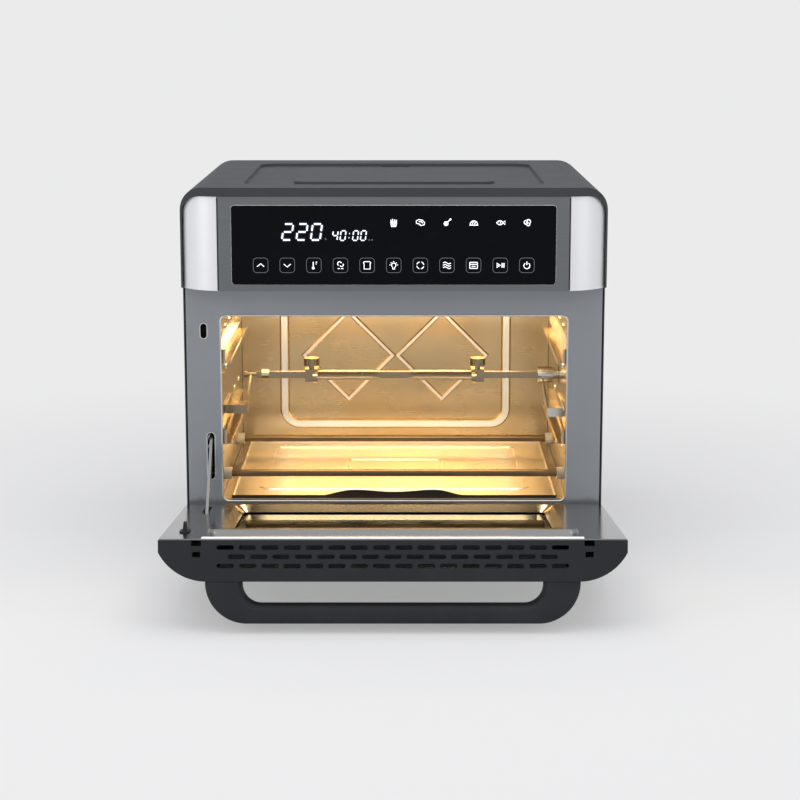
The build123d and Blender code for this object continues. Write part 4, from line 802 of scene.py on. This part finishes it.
# Pan-head screws that hold the back cover
screw_radius = 3.6 * mm
screw_rise = 1.8 * mm
screw_places = [(across, up) for across in (-172, 172) for up in (40, 178, 318)]
for count, (across, up) in enumerate(screw_places):
    dome(
        f"cover_screw_{count}", (across * mm, shell_high.y, up * mm), screw_radius, screw_rise, (0, 1, 0),
        "bright", "cabinet",
    )

# Floor: pale paper that keeps a soft shadow near the oven and is even further out
pale = (0.83, 0.83, 0.838)
near_share = 0.42
shadow_reach = 0.3
even_reach = 0.95
bpy.ops.object.select_all(action="DESELECT")
bpy.ops.mesh.primitive_plane_add(size=16, location=(0, 0, 0))
floor = bpy.context.object
floor.name = "floor"
floor_finish = Finish("floor_paper", pale, 0.9)
spread = floor_finish.node("ShaderNodeVectorMath", {"operation": "LENGTH"}, {0: floor_finish.place}, "Value")
even = near_share + (1 - near_share) * floor_finish.window(spread, shadow_reach, even_reach)
paper = floor_finish.node("ShaderNodeEmission", values={"Color": (*pale, 1), "Strength": 1.0})
lit_paper = Term(floor_finish, floor_finish.shader.outputs[0])
floor_finish.close(floor_finish.seen() * even, lit_paper, paper, "Material Output")
floor.data.materials.append(floor_finish.data)


# Lamps
def softbox(name, place, aim, size, watts, colour=(1, 1, 1)):
    """A rectangular lamp at a place, pointed at another."""
    light = bpy.data.lights.new(name, "AREA")
    light.shape = "RECTANGLE"
    light.size, light.size_y = size
    light.energy = watts
    light.color = colour
    lamp = bpy.data.objects.new(name, light)
    lamp.location = place
    lamp.rotation_euler = (Vector(aim) - Vector(place)).to_track_quat("-Z", "Y").to_euler()
    bpy.context.collection.objects.link(lamp)


oven_middle = (0, 0, 0.2)
softbox("top_box", place=(0, -0.3, 1.9), aim=(0, 0, 0.1), size=(2.2, 1.8), watts=20)
softbox("front_box", place=(0, -2.4, 1.3), aim=oven_middle, size=(2.0, 0.8), watts=9)
softbox("left_box", place=(-1.5, -1.0, 0.7), aim=oven_middle, size=(0.7, 1.3), watts=8)
softbox("right_box", place=(1.5, -1.0, 0.7), aim=oven_middle, size=(0.7, 1.3), watts=6)
warm = (1.0, 0.73, 0.37)
softbox(
    "oven_light", place=(0, flange_y + 0.075, 0.222), aim=(0, flange_y + 0.14, 0.06),
    size=(0.26, 0.07), watts=1.15, colour=warm,
)
softbox(
    "oven_lamp", place=(-0.136, flange_y + 0.176, 0.214), aim=(0, flange_y + 0.1, 0.05),
    size=(0.05, 0.05), watts=0.05, colour=warm,
)

# World: soft daylight, and the pale card that the camera, metal and glass see
world = bpy.data.worlds.new("room")
world.use_nodes = True
room = Net(world.node_tree)
daylight = room.node("ShaderNodeBackground", values={"Color": (0.97, 0.98, 1.0, 1), "Strength": 0.42})
card = room.node("ShaderNodeBackground", values={"Color": (*pale, 1), "Strength": 1.0})
room.close(room.seen(), daylight, card, "World Output")
bpy.context.scene.world = world

# Camera
camera_data = bpy.data.cameras.new("camera")
camera_data.sensor_width = 36
camera_data.lens = 88.2
camera_data.shift_x = -0.005
camera_data.shift_y = -0.056
camera = bpy.data.objects.new("camera", camera_data)
camera.location = (0.0088, -1.7369, 0.4863)
camera.rotation_euler = (radians(80), 0, 0)
bpy.context.collection.objects.link(camera)
bpy.context.scene.camera = camera
bpy.context.scene.view_settings.view_transform = "Standard"
